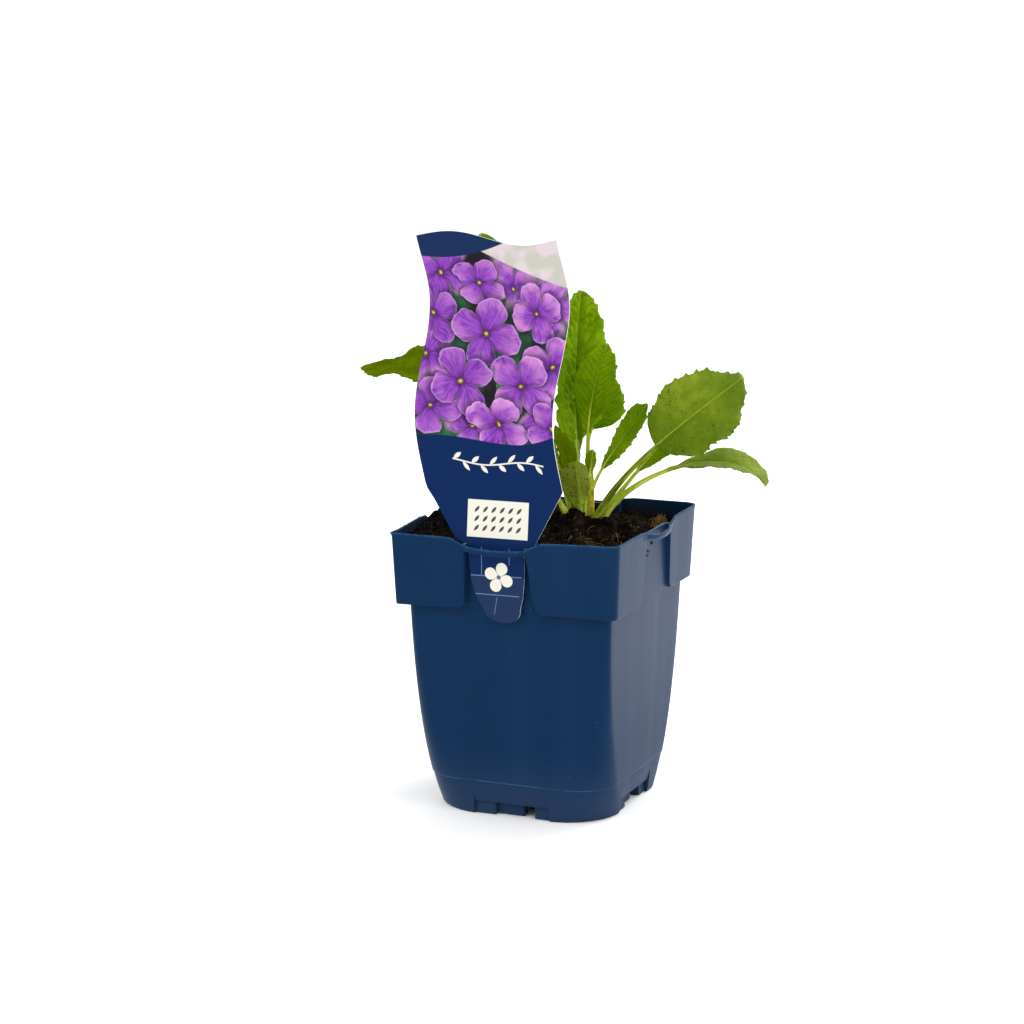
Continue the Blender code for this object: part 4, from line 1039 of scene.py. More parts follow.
def socket_edges(socket, z):
    """Where a socket's two edges lie at a height: below the skirt they run to the notch's edges."""
    share = (z - SKIRT_Z) / (EDGES_TOP - SKIRT_Z)
    edges = []
    for side, (top, low) in ((-1, socket["left"]), (1, socket["right"])):
        if z >= SKIRT_Z:
            edge = low + (top - low) * min(1.0, share)
            rise = min(1.0, (z - SKIRT_Z) / SOCKET_CORNER)
            edge += side * SOCKET_CORNER * (1 - math.sqrt(1 - (1 - rise)**2))
        else:
            edge = low + side * SOCKET_CORNER
            down = min(1.0, (SKIRT_Z - z) / (SKIRT_Z - FOOT_BLEND))
            edge += (side * NOTCH_HALF - edge) * down
        edges.append(edge)
    return edges


def side_columns(half, radii, left, right, grow):
    """The places along a side of its columns, and each one's share of the socket's depth."""
    halves = []
    for radius, edge in zip(radii, (left - grow, right + grow)):
        flat = half - radius

        def run(length):
            if length <= flat:
                return length
            return flat + radius * math.asin(min(0.7071, (length - flat) / radius))

        def place(length):
            on_arc = flat + radius * np.sin(np.maximum(length - flat, 0) / radius)
            return np.where(length <= flat, length, on_arc)

        corner = flat + radius * math.pi / 4
        first = run(abs(edge) + EDGE_COLUMNS[0][0])
        bend = min(max(flat, first + 0.0008), 0.5 * (first + corner) if first > flat else corner)
        outer = np.concatenate([np.linspace(first, bend, STRAIGHT_COLUMNS + 1)[1:],
                                np.linspace(bend, corner, ARC_COLUMNS + 1)[1:]])
        near = [abs(edge) + out for out, _ in EDGE_COLUMNS]
        halves.append((place(outer), near))
    shares = [share for _, share in EDGE_COLUMNS]
    low = -halves[0][1][-1]
    high = halves[1][1][-1]
    middle = np.linspace(low, high, MIDDLE_COLUMNS + 2)[1:-1]
    xs = np.concatenate([-halves[0][0][::-1], -np.array(halves[0][1]), middle,
                         np.array(halves[1][1])[::-1], halves[1][0][:-1]])
    none = np.zeros(len(halves[0][0]))
    depth = np.concatenate([none, shares, np.ones(MIDDLE_COLUMNS), shares[::-1], none[:-1]])
    return xs, depth


def rim_dip(socket, along, left, right):
    """How far the rim lies below its height at places along a side."""
    before = along < (left + right) / 2
    away = np.maximum(np.where(before, left - along, along - right), 0.0)
    deep = np.where(before, socket["dips"][0], socket["dips"][1])
    sag = socket["sag"] * np.maximum(0.0, 1 - away / RIM_SAG_RUN)
    return deep * np.exp(-(away / RIM_DIP_SPREAD)**2) + sag


def pot_ring(half, inset, level, part):
    """One ring of the pot. The part is the outer or inner wall of the body or of the skirt."""
    inner = part.startswith("inner")
    in_skirt = part.endswith("skirt")
    grow = WALL if inner and in_skirt else 0.0
    ring = []
    for side, socket in SOCKETS.items():
        left, right = socket_edges(socket, level)
        if in_skirt:
            radii = [radius - inset for radius in CORNERS[side]]
        else:
            radii = [max(SMALLEST_RADIUS, body_radius(level) * share - inset) for share in BODY_CORNERS[side]]
        xs, depth = side_columns(half, radii, left, right, grow)
        radius = np.where(xs < 0, radii[0], radii[1])
        flat = half - radius
        beyond = np.maximum(np.abs(xs) - flat, 0.0)
        ys = -(flat + np.sqrt(np.maximum(radius**2 - beyond**2, 0.0)))
        zs = np.full(len(xs), level)
        if in_skirt:
            floor = socket["floor"] - (WALL if inner else 0.0)
            ys = ys * (1 - depth) - floor * depth
            dip = rim_dip(socket, xs, left, right) * (1 - depth) + socket["inner"] * depth
            zs = zs - dip * ease((level - DIP_FROM) / (RIM_HEIGHT - DIP_FROM))
        elif level < FOOT_BLEND:
            top = PLATE_Z if inner else FOOT_BLEND
            zs = zs + NOTCH_TOP * depth * max(0.0, 1 - level / top)
        ring.append(np.stack([*turned(xs, ys, socket["turn"]), zs], axis=1))
    return np.concatenate(ring)


def pot_rings():
    rings = [pot_ring(body_half(0.0) - WALL, WALL, z, "inner body") for z in FOOT_LEVELS]
    rings.append(pot_ring(body_half(0.0) - WALL * 0.8, WALL * 0.8, 0.0, "outer body"))
    for z in BODY_LEVELS:
        half = body_half(z) - (0.0003 if z == 0.0 else 0.0)
        rings.append(pot_ring(half, 0.0, z, "outer body"))
    for inset, rise in SKIRT_EDGE:
        rings.append(pot_ring(SKIRT_HALF - inset, inset, SKIRT_Z + rise, "outer skirt"))
    for rise in SKIRT_RISES:
        rings.append(pot_ring(skirt_half(SKIRT_Z + rise), 0.0, SKIRT_Z + rise, "outer skirt"))
    lip = WALL / 2
    for step in range(LIP_STEPS + 1):
        angle = math.pi * step / LIP_STEPS
        inset = lip - lip * math.cos(angle)
        half = skirt_half(RIM_HEIGHT) - inset
        part = "outer skirt" if step < LIP_STEPS / 2 else "inner skirt"
        rings.append(pot_ring(half, inset, RIM_HEIGHT - lip + lip * math.sin(angle), part))
    for z in INNER_SKIRT_LEVELS:
        rings.append(pot_ring(skirt_half(z) - WALL, WALL, z, "inner skirt"))
    for z in INNER_BODY_LEVELS:
        rings.append(pot_ring(body_half(min(z, SKIRT_Z)) - WALL, WALL, z, "inner body"))
    return rings


def tube_solid(name, rings):
    """A closed solid through rings of equally many points."""
    count = len(rings[0])
    points = np.concatenate(rings)
    faces = grid_faces(len(rings), count, closed=True).tolist()
    faces.append(list(range(count))[::-1])
    faces.append(list(range(len(points) - count, len(points))))
    mesh = bpy.data.meshes.new(name)
    mesh.from_pydata(points.tolist(), [], faces)
    if signed_volume(mesh) < 0:
        mesh.flip_normals()
    return placed(name, mesh)


def block(name, low, high, turn):
    corners = ((low[0], low[1]), (high[0], low[1]), (high[0], high[1]), (low[0], high[1]))
    rings = [np.array([(*turned(x, y, turn), z) for x, y in corners]) for z in (low[2], high[2])]
    return tube_solid(name, rings)


def round_solid(name, radius, low, high, x, y, sides):
    angle = 2 * np.pi * np.arange(sides) / sides
    rings = [np.stack([x + radius * np.cos(angle), y + radius * np.sin(angle), np.full(sides, z)], axis=1)
             for z in (low, high)]
    return tube_solid(name, rings)


def strap_place(socket, share, middle, reach):
    """A strap's middle line at a share from -1 to 1 along it: place along the side, place out and top."""
    first_top, middle_top, last_top = socket["strap"]
    end_top = first_top if share < 0 else last_top
    top = middle_top + (end_top - middle_top) * abs(share)**STRAP_CURVE
    seat = skirt_half(middle_top) - STRAP_THICK * 0.45
    return middle + reach * share, -(seat + STRAP_BOW * (1 - share * share)), top


def strap_solid(name, socket, steps=30, around=14):
    """The bowed bar across the top of a socket, rounded, its ends sunk in the skirt."""
    left = socket["left"][0] - WALL * 0.6
    right = socket["right"][0] + WALL * 0.6
    angle = 2 * np.pi * np.arange(around) / around
    dy = np.sign(np.cos(angle)) * np.abs(np.cos(angle))**0.7 * STRAP_THICK / 2
    dz = np.sign(np.sin(angle)) * np.abs(np.sin(angle))**0.7 * STRAP_TALL / 2
    rings = []
    for i in range(steps + 1):
        x, y, top = strap_place(socket, 2 * i / steps - 1, (left + right) / 2, (right - left) / 2)
        y = y + dy
        z = top - STRAP_TALL / 2 + dz
        rings.append(np.stack([*turned(x, y, socket["turn"]), z], axis=1))
    return tube_solid(name, rings)


def combined(item, others, operation):
    """The item joined with, or cut by, a list of solids, which are then removed."""
    tools = bpy.data.collections.new("tools")
    bpy.context.scene.collection.children.link(tools)
    for other in others:
        bpy.context.scene.collection.objects.unlink(other)
        tools.objects.link(other)
    modifier = item.modifiers.new(operation, "BOOLEAN")
    modifier.operation = operation
    modifier.solver = "EXACT"
    modifier.operand_type = "COLLECTION"
    modifier.collection = tools
    view = bpy.context.evaluated_depsgraph_get()
    result = bpy.data.meshes.new_from_object(item.evaluated_get(view))
    item.modifiers.clear()
    item.data = result
    for other in others:
        bpy.data.objects.remove(other)
    bpy.data.collections.remove(tools)


def edge_glint(mesh):
    """How much each point lies on an outward edge, from 0 to 1."""
    normals = read(mesh.polygons, "normal", 3)
    middles = read(mesh.polygons, "center", 3)
    glint_map = np.zeros(len(mesh.vertices))
    by_edge = {}
    for number, polygon in enumerate(mesh.polygons):
        for key in polygon.edge_keys:
            by_edge.setdefault(key, []).append(number)
    for (a, b), sides in by_edge.items():
        if len(sides) != 2:
            continue
        first, second = sides
        turn = math.acos(max(-1.0, min(1.0, float(np.dot(normals[first], normals[second])))))
        outward = np.dot(normals[first], middles[second] - middles[first]) < 0
        if outward and turn > GLINT_TURN:
            value = min(1.0, (turn - GLINT_TURN) / GLINT_TURN_RUN)
            glint_map[a] = max(glint_map[a], value)
            glint_map[b] = max(glint_map[b], value)
    return glint_map


def warp_drop(x, y):
    """How far the rim hangs down at the front left corner."""
    return WARP_DROP * np.exp(-(np.hypot(x + RIM_HALF, y + RIM_HALF) / WARP_SPREAD)**2)


def pot_shell():
    """The pot's walls and floor, with the flare and the hang of its rim."""
    rings = pot_rings()
    points = np.concatenate(rings)
    for side in (-1, 1):
        corner = np.hypot(points[:, 0] - side * RIM_HALF, points[:, 1] - side * RIM_HALF)
        high = ease((points[:, 2] - RIM_HEIGHT + FLARE_RUN) / FLARE_RUN)
        flare = FLARE * np.exp(-(corner / FLARE_SPREAD)**2) * high
        points[:, 0] += side * flare
        points[:, 1] += side * flare
    points[:, 2] -= warp_drop(points[:, 0], points[:, 1]) * ease((points[:, 2] - WARP_FROM) / WARP_RUN)
    return tube_solid("pot_fine", points.reshape(len(rings), -1, 3))


def build_pot(material):
    item = pot_shell()
    fittings = []
    drains = []
    for side, socket in SOCKETS.items():
        turn = socket["turn"]
        fittings.append(strap_solid(f"strap_{side}", socket))
        for left, right, away in FOOT_RIBS:
            high = (right, -away + RIB_THICKNESS, RIB_TOP)
            fittings.append(block("rib", (left, -away, RIB_FOOT), high, turn))
        for left, outer, inner in FOOT_RETURNS:
            high = (left + RIB_THICKNESS, -inner, RIB_TOP)
            fittings.append(block("return", (left, -outer, RETURN_FOOT), high, turn))
        x, y = turned(DRAIN_OFFSET, 0.0, turn)
        low, high = PLATE_Z - DRAIN_DEPTH, PLATE_Z + DRAIN_DEPTH
        drains.append(round_solid("drain", DRAIN_RADIUS, low, high, x, y, DRAIN_SIDES))
    fittings.append(round_solid("pad", PAD_RADIUS, 0.0, RIB_TOP, 0.0, 0.0, PAD_SIDES))
    combined(item, fittings, "UNION")
    combined(item, drains, "DIFFERENCE")
    mesh = item.data
    places = vertex_places(mesh)
    # How strongly each point near the rim gets the painted edge highlight; the green part marks points on the
    # inner walls
    glint_map = edge_glint(mesh) * ease((places[:, 2] - GLINT_FROM) / GLINT_RUN)
    normals = read(mesh.vertex_normals, "vector", 3, float)
    inner = (np.sum(places[:, :2] * normals[:, :2], axis=1) < 0.0).astype(float)
    paint(mesh, "glint_map", glint_map, inner, glint_map)
    mesh.shade_smooth()
    mesh.set_sharp_from_angle(angle=math.radians(POT_SHARP_ANGLE))
    mesh.materials.clear()
    mesh.materials.append(material)
    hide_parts("pot")
    return finished(item)


# Soil

def soil_height(x, y):
    """The soil's height as the CAD has it, without the grain."""
    away = np.hypot(x - CROWN_X, y - CROWN_Y)
    mound = SOIL_MOUND * np.exp(-(away / SOIL_MOUND_SPREAD)**2)
    front = SOIL_FRONT_RISE * ease((-y - 0.010) / 0.035)
    lumps = 0.0007 * np.sin(310 * x + 1.3) * np.sin(270 * y + 0.4)
    lumps += 0.0005 * np.sin(560 * x + 190 * y) * np.cos(610 * y - 230 * x)
    return SOIL_LEVEL + mound + heaped(x, y, SOIL_HEAPS) + front + lumps


def soil_top(x, y):
    """The height of the finished surface: the CAD's with rounded clods, pits and grain on it."""
    flat = np.stack([x, y, np.zeros(len(x))], axis=1)
    bends = [lattice_noise(flat / BEND_CELL, 61), lattice_noise(flat / BEND_CELL, 62), np.zeros(len(x))]
    bent = flat + BEND * np.stack(bends, axis=1)
    clods = np.abs(lattice_noise(bent / CLOD_CELL, 11))**CLOD_POWER
    lumps = np.abs(lattice_noise(bent / LUMP_CELL, 23))**CLOD_POWER
    grain = np.abs(lattice_noise(bent / GRAIN_CELL, 37))
    fine = lattice_noise(flat / FINE_CELL, 41)
    rough = 0.0030 * clods + 0.0019 * lumps + 0.0009 * grain + 0.00025 * fine - SOIL_PITS
    at_crown = np.exp(-(np.hypot(x - CROWN_X, y - CROWN_Y) / 0.0075)**2)
    piled = heaped(x, y, CLODS)
    return soil_height(x, y) + rough * (1 - 0.4 * at_crown) - 0.0008 * at_crown + piled


def soil_limit(along, socket):
    """How far the soil reaches at places along one side."""
    left = socket["left"][0] - WALL - 0.0006
    right = socket["right"][0] + WALL + 0.0006
    outside = np.maximum(left - along, along - right)
    return SOIL_SOCKET_EDGE + (SOIL_EDGE - SOIL_SOCKET_EDGE) * ease(outside / 0.0016)


def into_pot(x, y):
    """Places in a square of the soil's edge brought inside the pot's wall."""
    front = soil_limit(x, SOCKETS["front"])
    back = soil_limit(-x, SOCKETS["back"])
    right = soil_limit(y, SOCKETS["right"])
    left = soil_limit(-y, SOCKETS["left"])
    new_y = y * np.where(y < 0, front, back) / SOIL_EDGE
    new_x = x * np.where(x > 0, right, left) / SOIL_EDGE
    return rounded(new_x, new_y, SOIL_EDGE, SOIL_CORNER)


def build_soil(material):
    """The soil: its rough top, and plain sides and bottom inside the pot."""
    side = np.linspace(-SOIL_EDGE, SOIL_EDGE, SOIL_CELLS + 1)
    x, y = (a.ravel() for a in np.meshgrid(side, side))
    x, y = into_pot(x, y)
    points = [np.stack([x, y, soil_top(x, y)], axis=1)]
    width = SOIL_CELLS + 1
    index = np.arange(width * width).reshape(width, width)
    border = np.concatenate([index[0, :-1], index[:-1, -1], index[-1, :0:-1], index[:0:-1, 0]])
    edge = points[0][border]
    count = len(border)
    levels = list(SOIL_SIDES)
    for z, at in SOIL_DEPTHS:
        radius = max(SMALLEST_RADIUS, body_radius(z) - WALL - GAP)
        levels.append((z, body_half(at) - WALL - SOIL_SIDE_GAP, radius))
    rings = [border]
    for number, (z, half, radius) in enumerate(levels):
        size = half / SOIL_EDGE
        px, py = rounded(edge[:, 0] * size, edge[:, 1] * size, half, radius)
        points.append(np.stack([px, py, np.full(count, z)], axis=1))
        rings.append(np.arange(count) + width * width + number * count)
    walls = [np.stack([upper, lower, np.roll(lower, -1), np.roll(upper, -1)], axis=1)
             for upper, lower in zip(rings, rings[1:])]
    faces = [grid_faces(width, width), np.concatenate(walls), rings[-1][None, :]]
    item = new_piece("soil_fine", np.concatenate(points), faces, material, 180)
    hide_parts("potting_soil")
    return item


def unit_ball(finer):
    """The points and triangles of an icosahedron, or of one split once."""
    gold = (1 + 5**0.5) / 2
    points = [(-1, gold, 0), (1, gold, 0), (-1, -gold, 0), (1, -gold, 0), (0, -1, gold), (0, 1, gold),
              (0, -1, -gold), (0, 1, -gold), (gold, 0, -1), (gold, 0, 1), (-gold, 0, -1), (-gold, 0, 1)]
    faces = [(0, 11, 5), (0, 5, 1), (0, 1, 7), (0, 7, 10), (0, 10, 11), (1, 5, 9), (5, 11, 4), (11, 10, 2),
             (10, 7, 6), (7, 1, 8), (3, 9, 4), (3, 4, 2), (3, 2, 6), (3, 6, 8), (3, 8, 9), (4, 9, 5),
             (2, 4, 11), (6, 2, 10), (8, 6, 7), (9, 8, 1)]
    points = [tuple(np.array(p) / np.linalg.norm(p)) for p in points]
    if finer:
        found = {}
        split = []
        for a, b, c in faces:
            mids = []
            for pair in ((a, b), (b, c), (c, a)):
                key = tuple(sorted(pair))
                if key not in found:
                    middle = np.array(points[pair[0]]) + np.array(points[pair[1]])
                    points.append(tuple(middle / np.linalg.norm(middle)))
                    found[key] = len(points) - 1
                mids.append(found[key])
            split += [(a, mids[0], mids[2]), (b, mids[1], mids[0]), (c, mids[2], mids[1]), tuple(mids)]
        faces = split
    return np.array(points), np.array(faces)


def turned_at_random(rng):
    a, b, c = (rng.uniform(0, 2 * math.pi) for _ in range(3))
    spin = Matrix.Rotation(a, 3, "X") @ Matrix.Rotation(b, 3, "Y") @ Matrix.Rotation(c, 3, "Z")
    return np.array(spin)


def soil_spot(rng, clear=0.0):
    """A place on the soil, some way in from the walls."""
    x = np.array([rng.uniform(-1, 1) * (SOIL_EDGE - clear)])
    y = np.array([rng.uniform(-1, 1) * (SOIL_EDGE - clear)])
    x, y = into_pot(x, y)
    shrink = 1 - clear / SOIL_EDGE
    return float(x[0]) * shrink, float(y[0]) * shrink


def crumb(rng, size, shape, finer):
    points, faces = unit_ball(finer)
    rough = np.array([rng.uniform(0.72, 1.22) for _ in points])
    points = points * rough[:, None] * np.array(shape) * size
    return points @ turned_at_random(rng).T, faces


def gathered(name, pieces, material, angle):
    """One piece of the soil from many small ones, each given as its points, its faces and its tone."""
    faces = []
    start = 0
    for points, corners, _ in pieces:
        faces.append(corners + start)
        start += len(points)
    points = np.concatenate([points for points, _, _ in pieces])
    item = new_piece(name, points, [np.concatenate(faces)], material, angle)
    tones = np.concatenate([np.full(len(points), tone) for points, _, tone in pieces])
    paint(item.data, "tone", tones, tones, tones)
    return item


def build_crumbs(material):
    """Loose crumbs and flakes of peat and bark on the soil, with a few on the rim and straps."""
    rng = random.Random(CRUMB_SEED)
    kinds = []
    for _ in range(FINE_CRUMBS):
        size = rng.uniform(0.00022, 0.00075)
        kinds.append((size, (1, 0.85, 0.75), False, 0.10 if rng.random() < 0.18 else 0.0))
    for _ in range(LARGE_CRUMBS):
        kinds.append((rng.uniform(0.0007, 0.0016), (1.1, 0.85, 0.7), True, 0.0))
    for _ in range(BARK_FLAKES):
        kinds.append((rng.uniform(0.0005, 0.0013), (1.6, 0.5, 0.16), False, rng.uniform(0.02, 0.26)))
    pieces = []
    for size, shape, finer, tone in kinds:
        x, y = soil_spot(rng, size * 1.2)
        ball, triangles = crumb(rng, size, shape, finer)
        z = float(soil_top(np.array([x]), np.array([y]))[0]) + size * rng.uniform(0.0, 0.5)
        pieces.append((ball + np.array([x, y, z]), triangles, tone * rng.uniform(0.6, 1.2)))
    for place, size in stray_crumbs(rng):
        ball, triangles = crumb(rng, size, (1, 0.8, 0.7), False)
        pieces.append((ball + np.array(place), triangles, rng.uniform(0.05, 0.3)))
    return gathered("soil_crumbs", pieces, material, 50)


def stray_crumbs(rng):
    """Crumbs that cling to the straps, the rim and the right face: a place and a size for each."""
    found = []

    def add(side, along, out, z, size):
        x, y = turned(along, out, SOCKETS[side]["turn"])
        found.append(((x, y, z - float(warp_drop(x, y))), size))

    for side, count in (("front", 7), ("right", 9)):
        socket = SOCKETS[side]
        left, right = socket["left"][0], socket["right"][0]
        for _ in range(count):
            x, y, top = strap_place(socket, rng.uniform(-1, 1), (left + right) / 2, (right - left) / 2)
            add(side, x, y, top, rng.uniform(0.00025, 0.00055))
    for along, z, size in ((-0.0021, 0.1250, 0.0011), (-0.0068, 0.1222, 0.0008), (-0.0081, 0.1204, 0.0010)):
        add("right", along, -SOCKETS["right"]["floor"] - 0.0001, z, size)
    for _ in range(RIM_CRUMBS):
        side = rng.choice(("front", "right", "back", "left"))
        along = rng.uniform(0.024, 0.046) * rng.choice((-1, 1))
        socket = SOCKETS[side]
        dip = float(rim_dip(socket, np.array([along]), socket["left"][0], socket["right"][0])[0])
        add(side, along, -(RIM_HALF - WALL / 2), RIM_HEIGHT - dip, rng.uniform(0.0002, 0.00045))
    return found


def fibre(rng, start, heading, length, radius, arch):
    """A thin bent thread of four sides lying on the soil: its points and faces."""
    steps = FIBRE_STEPS
    bend = rng.uniform(-1.0, 1.0)
    wobble = rng.uniform(0.0, 6.3)
    x, y = start
    line = []
    for i in range(steps + 1):
        share = i / steps
        turn = heading + bend * (share - 0.5) + 0.22 * math.sin(7 * share + wobble)
        line.append((x, y, share))
        x += math.cos(turn) * length / steps
        y += math.sin(turn) * length / steps
    line = np.array(line)
    lx, ly = np.clip(line[:, :2], -FIBRE_REACH, FIBRE_REACH).T
    ground = soil_top(lx, ly)
    lz = ground + radius * 0.6 + arch * np.sin(np.pi * line[:, 2]) + rng.uniform(0.0, 0.0003)
    path = np.stack([lx, ly, lz], axis=1)
    along = np.gradient(path, axis=0)
    along /= np.maximum(np.linalg.norm(along, axis=1), 1e-9)[:, None]
    aside = np.cross(along, (0.0, 0.0, 1.0))
    aside /= np.maximum(np.linalg.norm(aside, axis=1), 1e-9)[:, None]
    up = np.cross(aside, along)
    thin = radius * (0.45 + 0.55 * np.sin(np.pi * np.clip(line[:, 2], 0.08, 0.92)))
    quarters = (0.0, 1.57, 3.14, 4.71)
    corners = [path + thin[:, None] * (aside * math.cos(a) + up * math.sin(a)) for a in quarters]
    points = np.stack(corners, axis=1).reshape(-1, 3)
    faces = grid_faces(steps + 1, 4, closed=True)
    ends = np.array([[3, 2, 1, 0], [steps * 4, steps * 4 + 1, steps * 4 + 2, steps * 4 + 3]])
    return points, np.concatenate([faces, ends])


def build_fibres(material):
    """Golden-brown and dark fibres of the peat, with a tuft of them at the back right."""
    rng = random.Random(FIBRE_SEED)
    kinds = []
    for _ in range(LOOSE_FIBRES):
        place = soil_spot(rng, 0.003)
        gold = rng.random() < 0.40
        kinds.append((place, rng.uniform(0.002, 0.008), rng.uniform(0.00004, 0.00009),
                      rng.uniform(0.0, 0.0011), rng.uniform(0.20, 0.6) if gold else rng.uniform(0.0, 0.15)))
    for _ in range(RIGHT_FIBRES):
        x = rng.gauss(0.034, 0.008)
        y = rng.gauss(-0.020, 0.014)
        kinds.append(((min(x, 0.045), max(y, -0.046)), rng.uniform(0.005, 0.012),
                      rng.uniform(0.00005, 0.00010), rng.uniform(0.0003, 0.0020), rng.uniform(0.6, 1.0)))
    for _ in range(TUFT_FIBRES):
        x = rng.gauss(0.0440, 0.0009)
        y = rng.gauss(0.0300, 0.0013)
        kinds.append(((min(x, 0.0468), y), rng.uniform(0.002, 0.0045), rng.uniform(0.00006, 0.00014),
                      rng.uniform(0.0010, 0.0066), rng.uniform(0.35, 1.0)))
    pieces = []
    for place, length, radius, arch, tone in kinds:
        heading = rng.uniform(0, 2 * math.pi)
        pieces.append((*fibre(rng, place, heading, length, radius, arch), tone))
    return gathered("soil_fibres", pieces, material, 60)


def build_crown(material):
    """The root's top, knobbed with leaf scars, mostly sunk in the soil."""
    radii = [0.0, CROWN_ROOT_RADIUS * 0.8]
    radii += [CROWN_RADIUS * share for share in (0.86, 1.0, 0.99, 0.92, 0.75, 0.5)]
    radii.append(0.0)
    heights = [CROWN_TOP - CROWN_DEPTH * share for share in (1.0, 0.98, 0.6, 0.3, 0.12)]
    heights += [CROWN_TOP + rise for rise in (-0.0002, 0.0001, 0.0002, 0.0003)]
    run = np.linspace(0, len(radii) - 1, CROWN_ROWS)
    radii = np.interp(run, range(len(radii)), radii)
    heights = np.interp(run, range(len(heights)), heights)
    angle = 2 * np.pi * np.arange(CROWN_SIDES) / CROWN_SIDES
    x = CROWN_X + radii[1:-1, None] * np.cos(angle)
    y = CROWN_Y + radii[1:-1, None] * np.sin(angle)
    z = heights[1:-1, None] + 0 * angle
    points = np.stack([x.ravel(), y.ravel(), z.ravel()], axis=1)
    away = points - np.array([CROWN_X, CROWN_Y, CROWN_TOP - 0.006])
    away /= np.linalg.norm(away, axis=1)[:, None]
    points = points + away * (KNOB_RISE * fractal(points / KNOB_CELL, 3, 3))[:, None]
    poles = np.array([[CROWN_X, CROWN_Y, heights[0]], [CROWN_X, CROWN_Y, heights[-1]]])
    count = len(points)
    ring = np.arange(CROWN_SIDES)
    after = (ring + 1) % CROWN_SIDES
    low = np.stack([np.full(CROWN_SIDES, count), after, ring], axis=1)
    top = count - CROWN_SIDES
    high = np.stack([np.full(CROWN_SIDES, count + 1), top + ring, top + after], axis=1)
    faces = [grid_faces(CROWN_ROWS - 2, CROWN_SIDES, closed=True), low, high]
    item = new_piece("crown_fine", np.concatenate([points, poles]), faces, material, 180)
    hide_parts("root_crown")
    return item


# Leaves

def direction(heading, rise):
    flat = math.cos(math.radians(rise))
    return np.array([math.cos(math.radians(heading)) * flat, math.sin(math.radians(heading)) * flat,
                     math.sin(math.radians(rise))])


def midrib(leaf, shares):
    """Points and directions of the midrib at shares of its run from the crown to the tip."""
    base = np.array([CROWN_X + leaf["seat"][0] / 1000, CROWN_Y + leaf["seat"][1] / 1000, CROWN_TOP + GAP])
    tip = base + direction(leaf["heading"], 0) * leaf["reach"] / 1000
    tip = tip + direction(leaf["heading"] - 90, 0) * leaf["drift"] / 1000
    tip[2] += leaf["height"] / 1000
    span = np.linalg.norm(tip - base)
    first = base + direction(*leaf["start"]) * span * leaf["pull"][0]
    second = tip - direction(*leaf["end"]) * span * leaf["pull"][1]
    s = shares[:, None]
    rest = 1 - s
    points = rest**3 * base + 3 * rest**2 * s * first + 3 * rest * s**2 * second + s**3 * tip
    along = rest**2 * (first - base) + 2 * rest * s * (second - first) + s**2 * (tip - second)
    return points, along / np.linalg.norm(along, axis=1)[:, None]


def blade_half(leaf, shares):
    run = (shares - leaf["blade_from"]) / (1 - leaf["blade_from"])
    inside = (run > 0) & (run < 1)
    run = np.clip(run, 1e-9, 1 - 1e-9)
    rise, fall = leaf["shape"]
    widest = (rise / (rise + fall))**rise * (fall / (rise + fall))**fall
    return np.where(inside, 0.0005 * leaf["width"] * run**rise * (1 - run)**fall / widest, 0.0)


def leaf_teeth(name, leaf):
    """The teeth where the CAD has them: side, share of the run and size."""
    rng = random.Random(f"{LEAF_SEED} {name}")
    start = leaf["blade_from"]
    count = 2 * leaf["teeth"]
    shares = [start + (1 - start) * (i / count)**0.93 for i in range(count + 1)]
    teeth = []
    for i in range(1, count):
        number = PETIOLE_STEPS + i
        size = leaf["tooth"] / 1000 * rng.uniform(*TOOTH_RANGE)
        teeth.append((-1 if number % 2 else 1, shares[i], size, shares[i] - shares[i - 1]))
    return teeth


def margin_teeth(name, leaf, shares):
    """How far the margin juts out at each share, on the left and on the right."""
    jut = {-1: np.zeros(len(shares)), 1: np.zeros(len(shares))}
    small = np.minimum(1.0, blade_half(leaf, shares) / (0.0002 * leaf["width"]))
    for side, at, size, gap in leaf_teeth(name, leaf):
        for place, part in ((at, 1.0), (at + gap * 0.95, 0.32)):
            x = (shares - place) / (gap * (1.0 if part == 1.0 else 0.6))
            saw = np.where(x <= 0, np.clip(1 + x, 0, 1)**1.5, np.clip(1 - x / 0.42, 0, 1)**1.1)
            jut[side] = np.maximum(jut[side], size * part * saw * small)
    return jut


def leaf_rows(leaf):
    """Shares of the leaf's rows, close enough together for its teeth and veins."""
    points, _ = midrib(leaf, np.linspace(0, 1, 80))
    length = np.sum(np.linalg.norm(np.diff(points, axis=0), axis=1))
    start = leaf["blade_from"]
    stalk = np.linspace(0, start, max(8, int(length * start / (2 * ROW_STEP))), endpoint=False)
    x = np.linspace(0, 1, max(30, int(length * (1 - start) / ROW_STEP)) + 1)
    return np.concatenate([stalk, start + (1 - start) * (1 - (1 - x)**1.22)])


def bow(name, shares):
    """How far the stalk bows out to its side at each share."""
    if name not in BOWS:
        return np.zeros(len(shares))
    most, low, high = BOWS[name]
    return most * np.sin(np.pi * np.clip((shares - low) / (high - low), 0, 1))**2


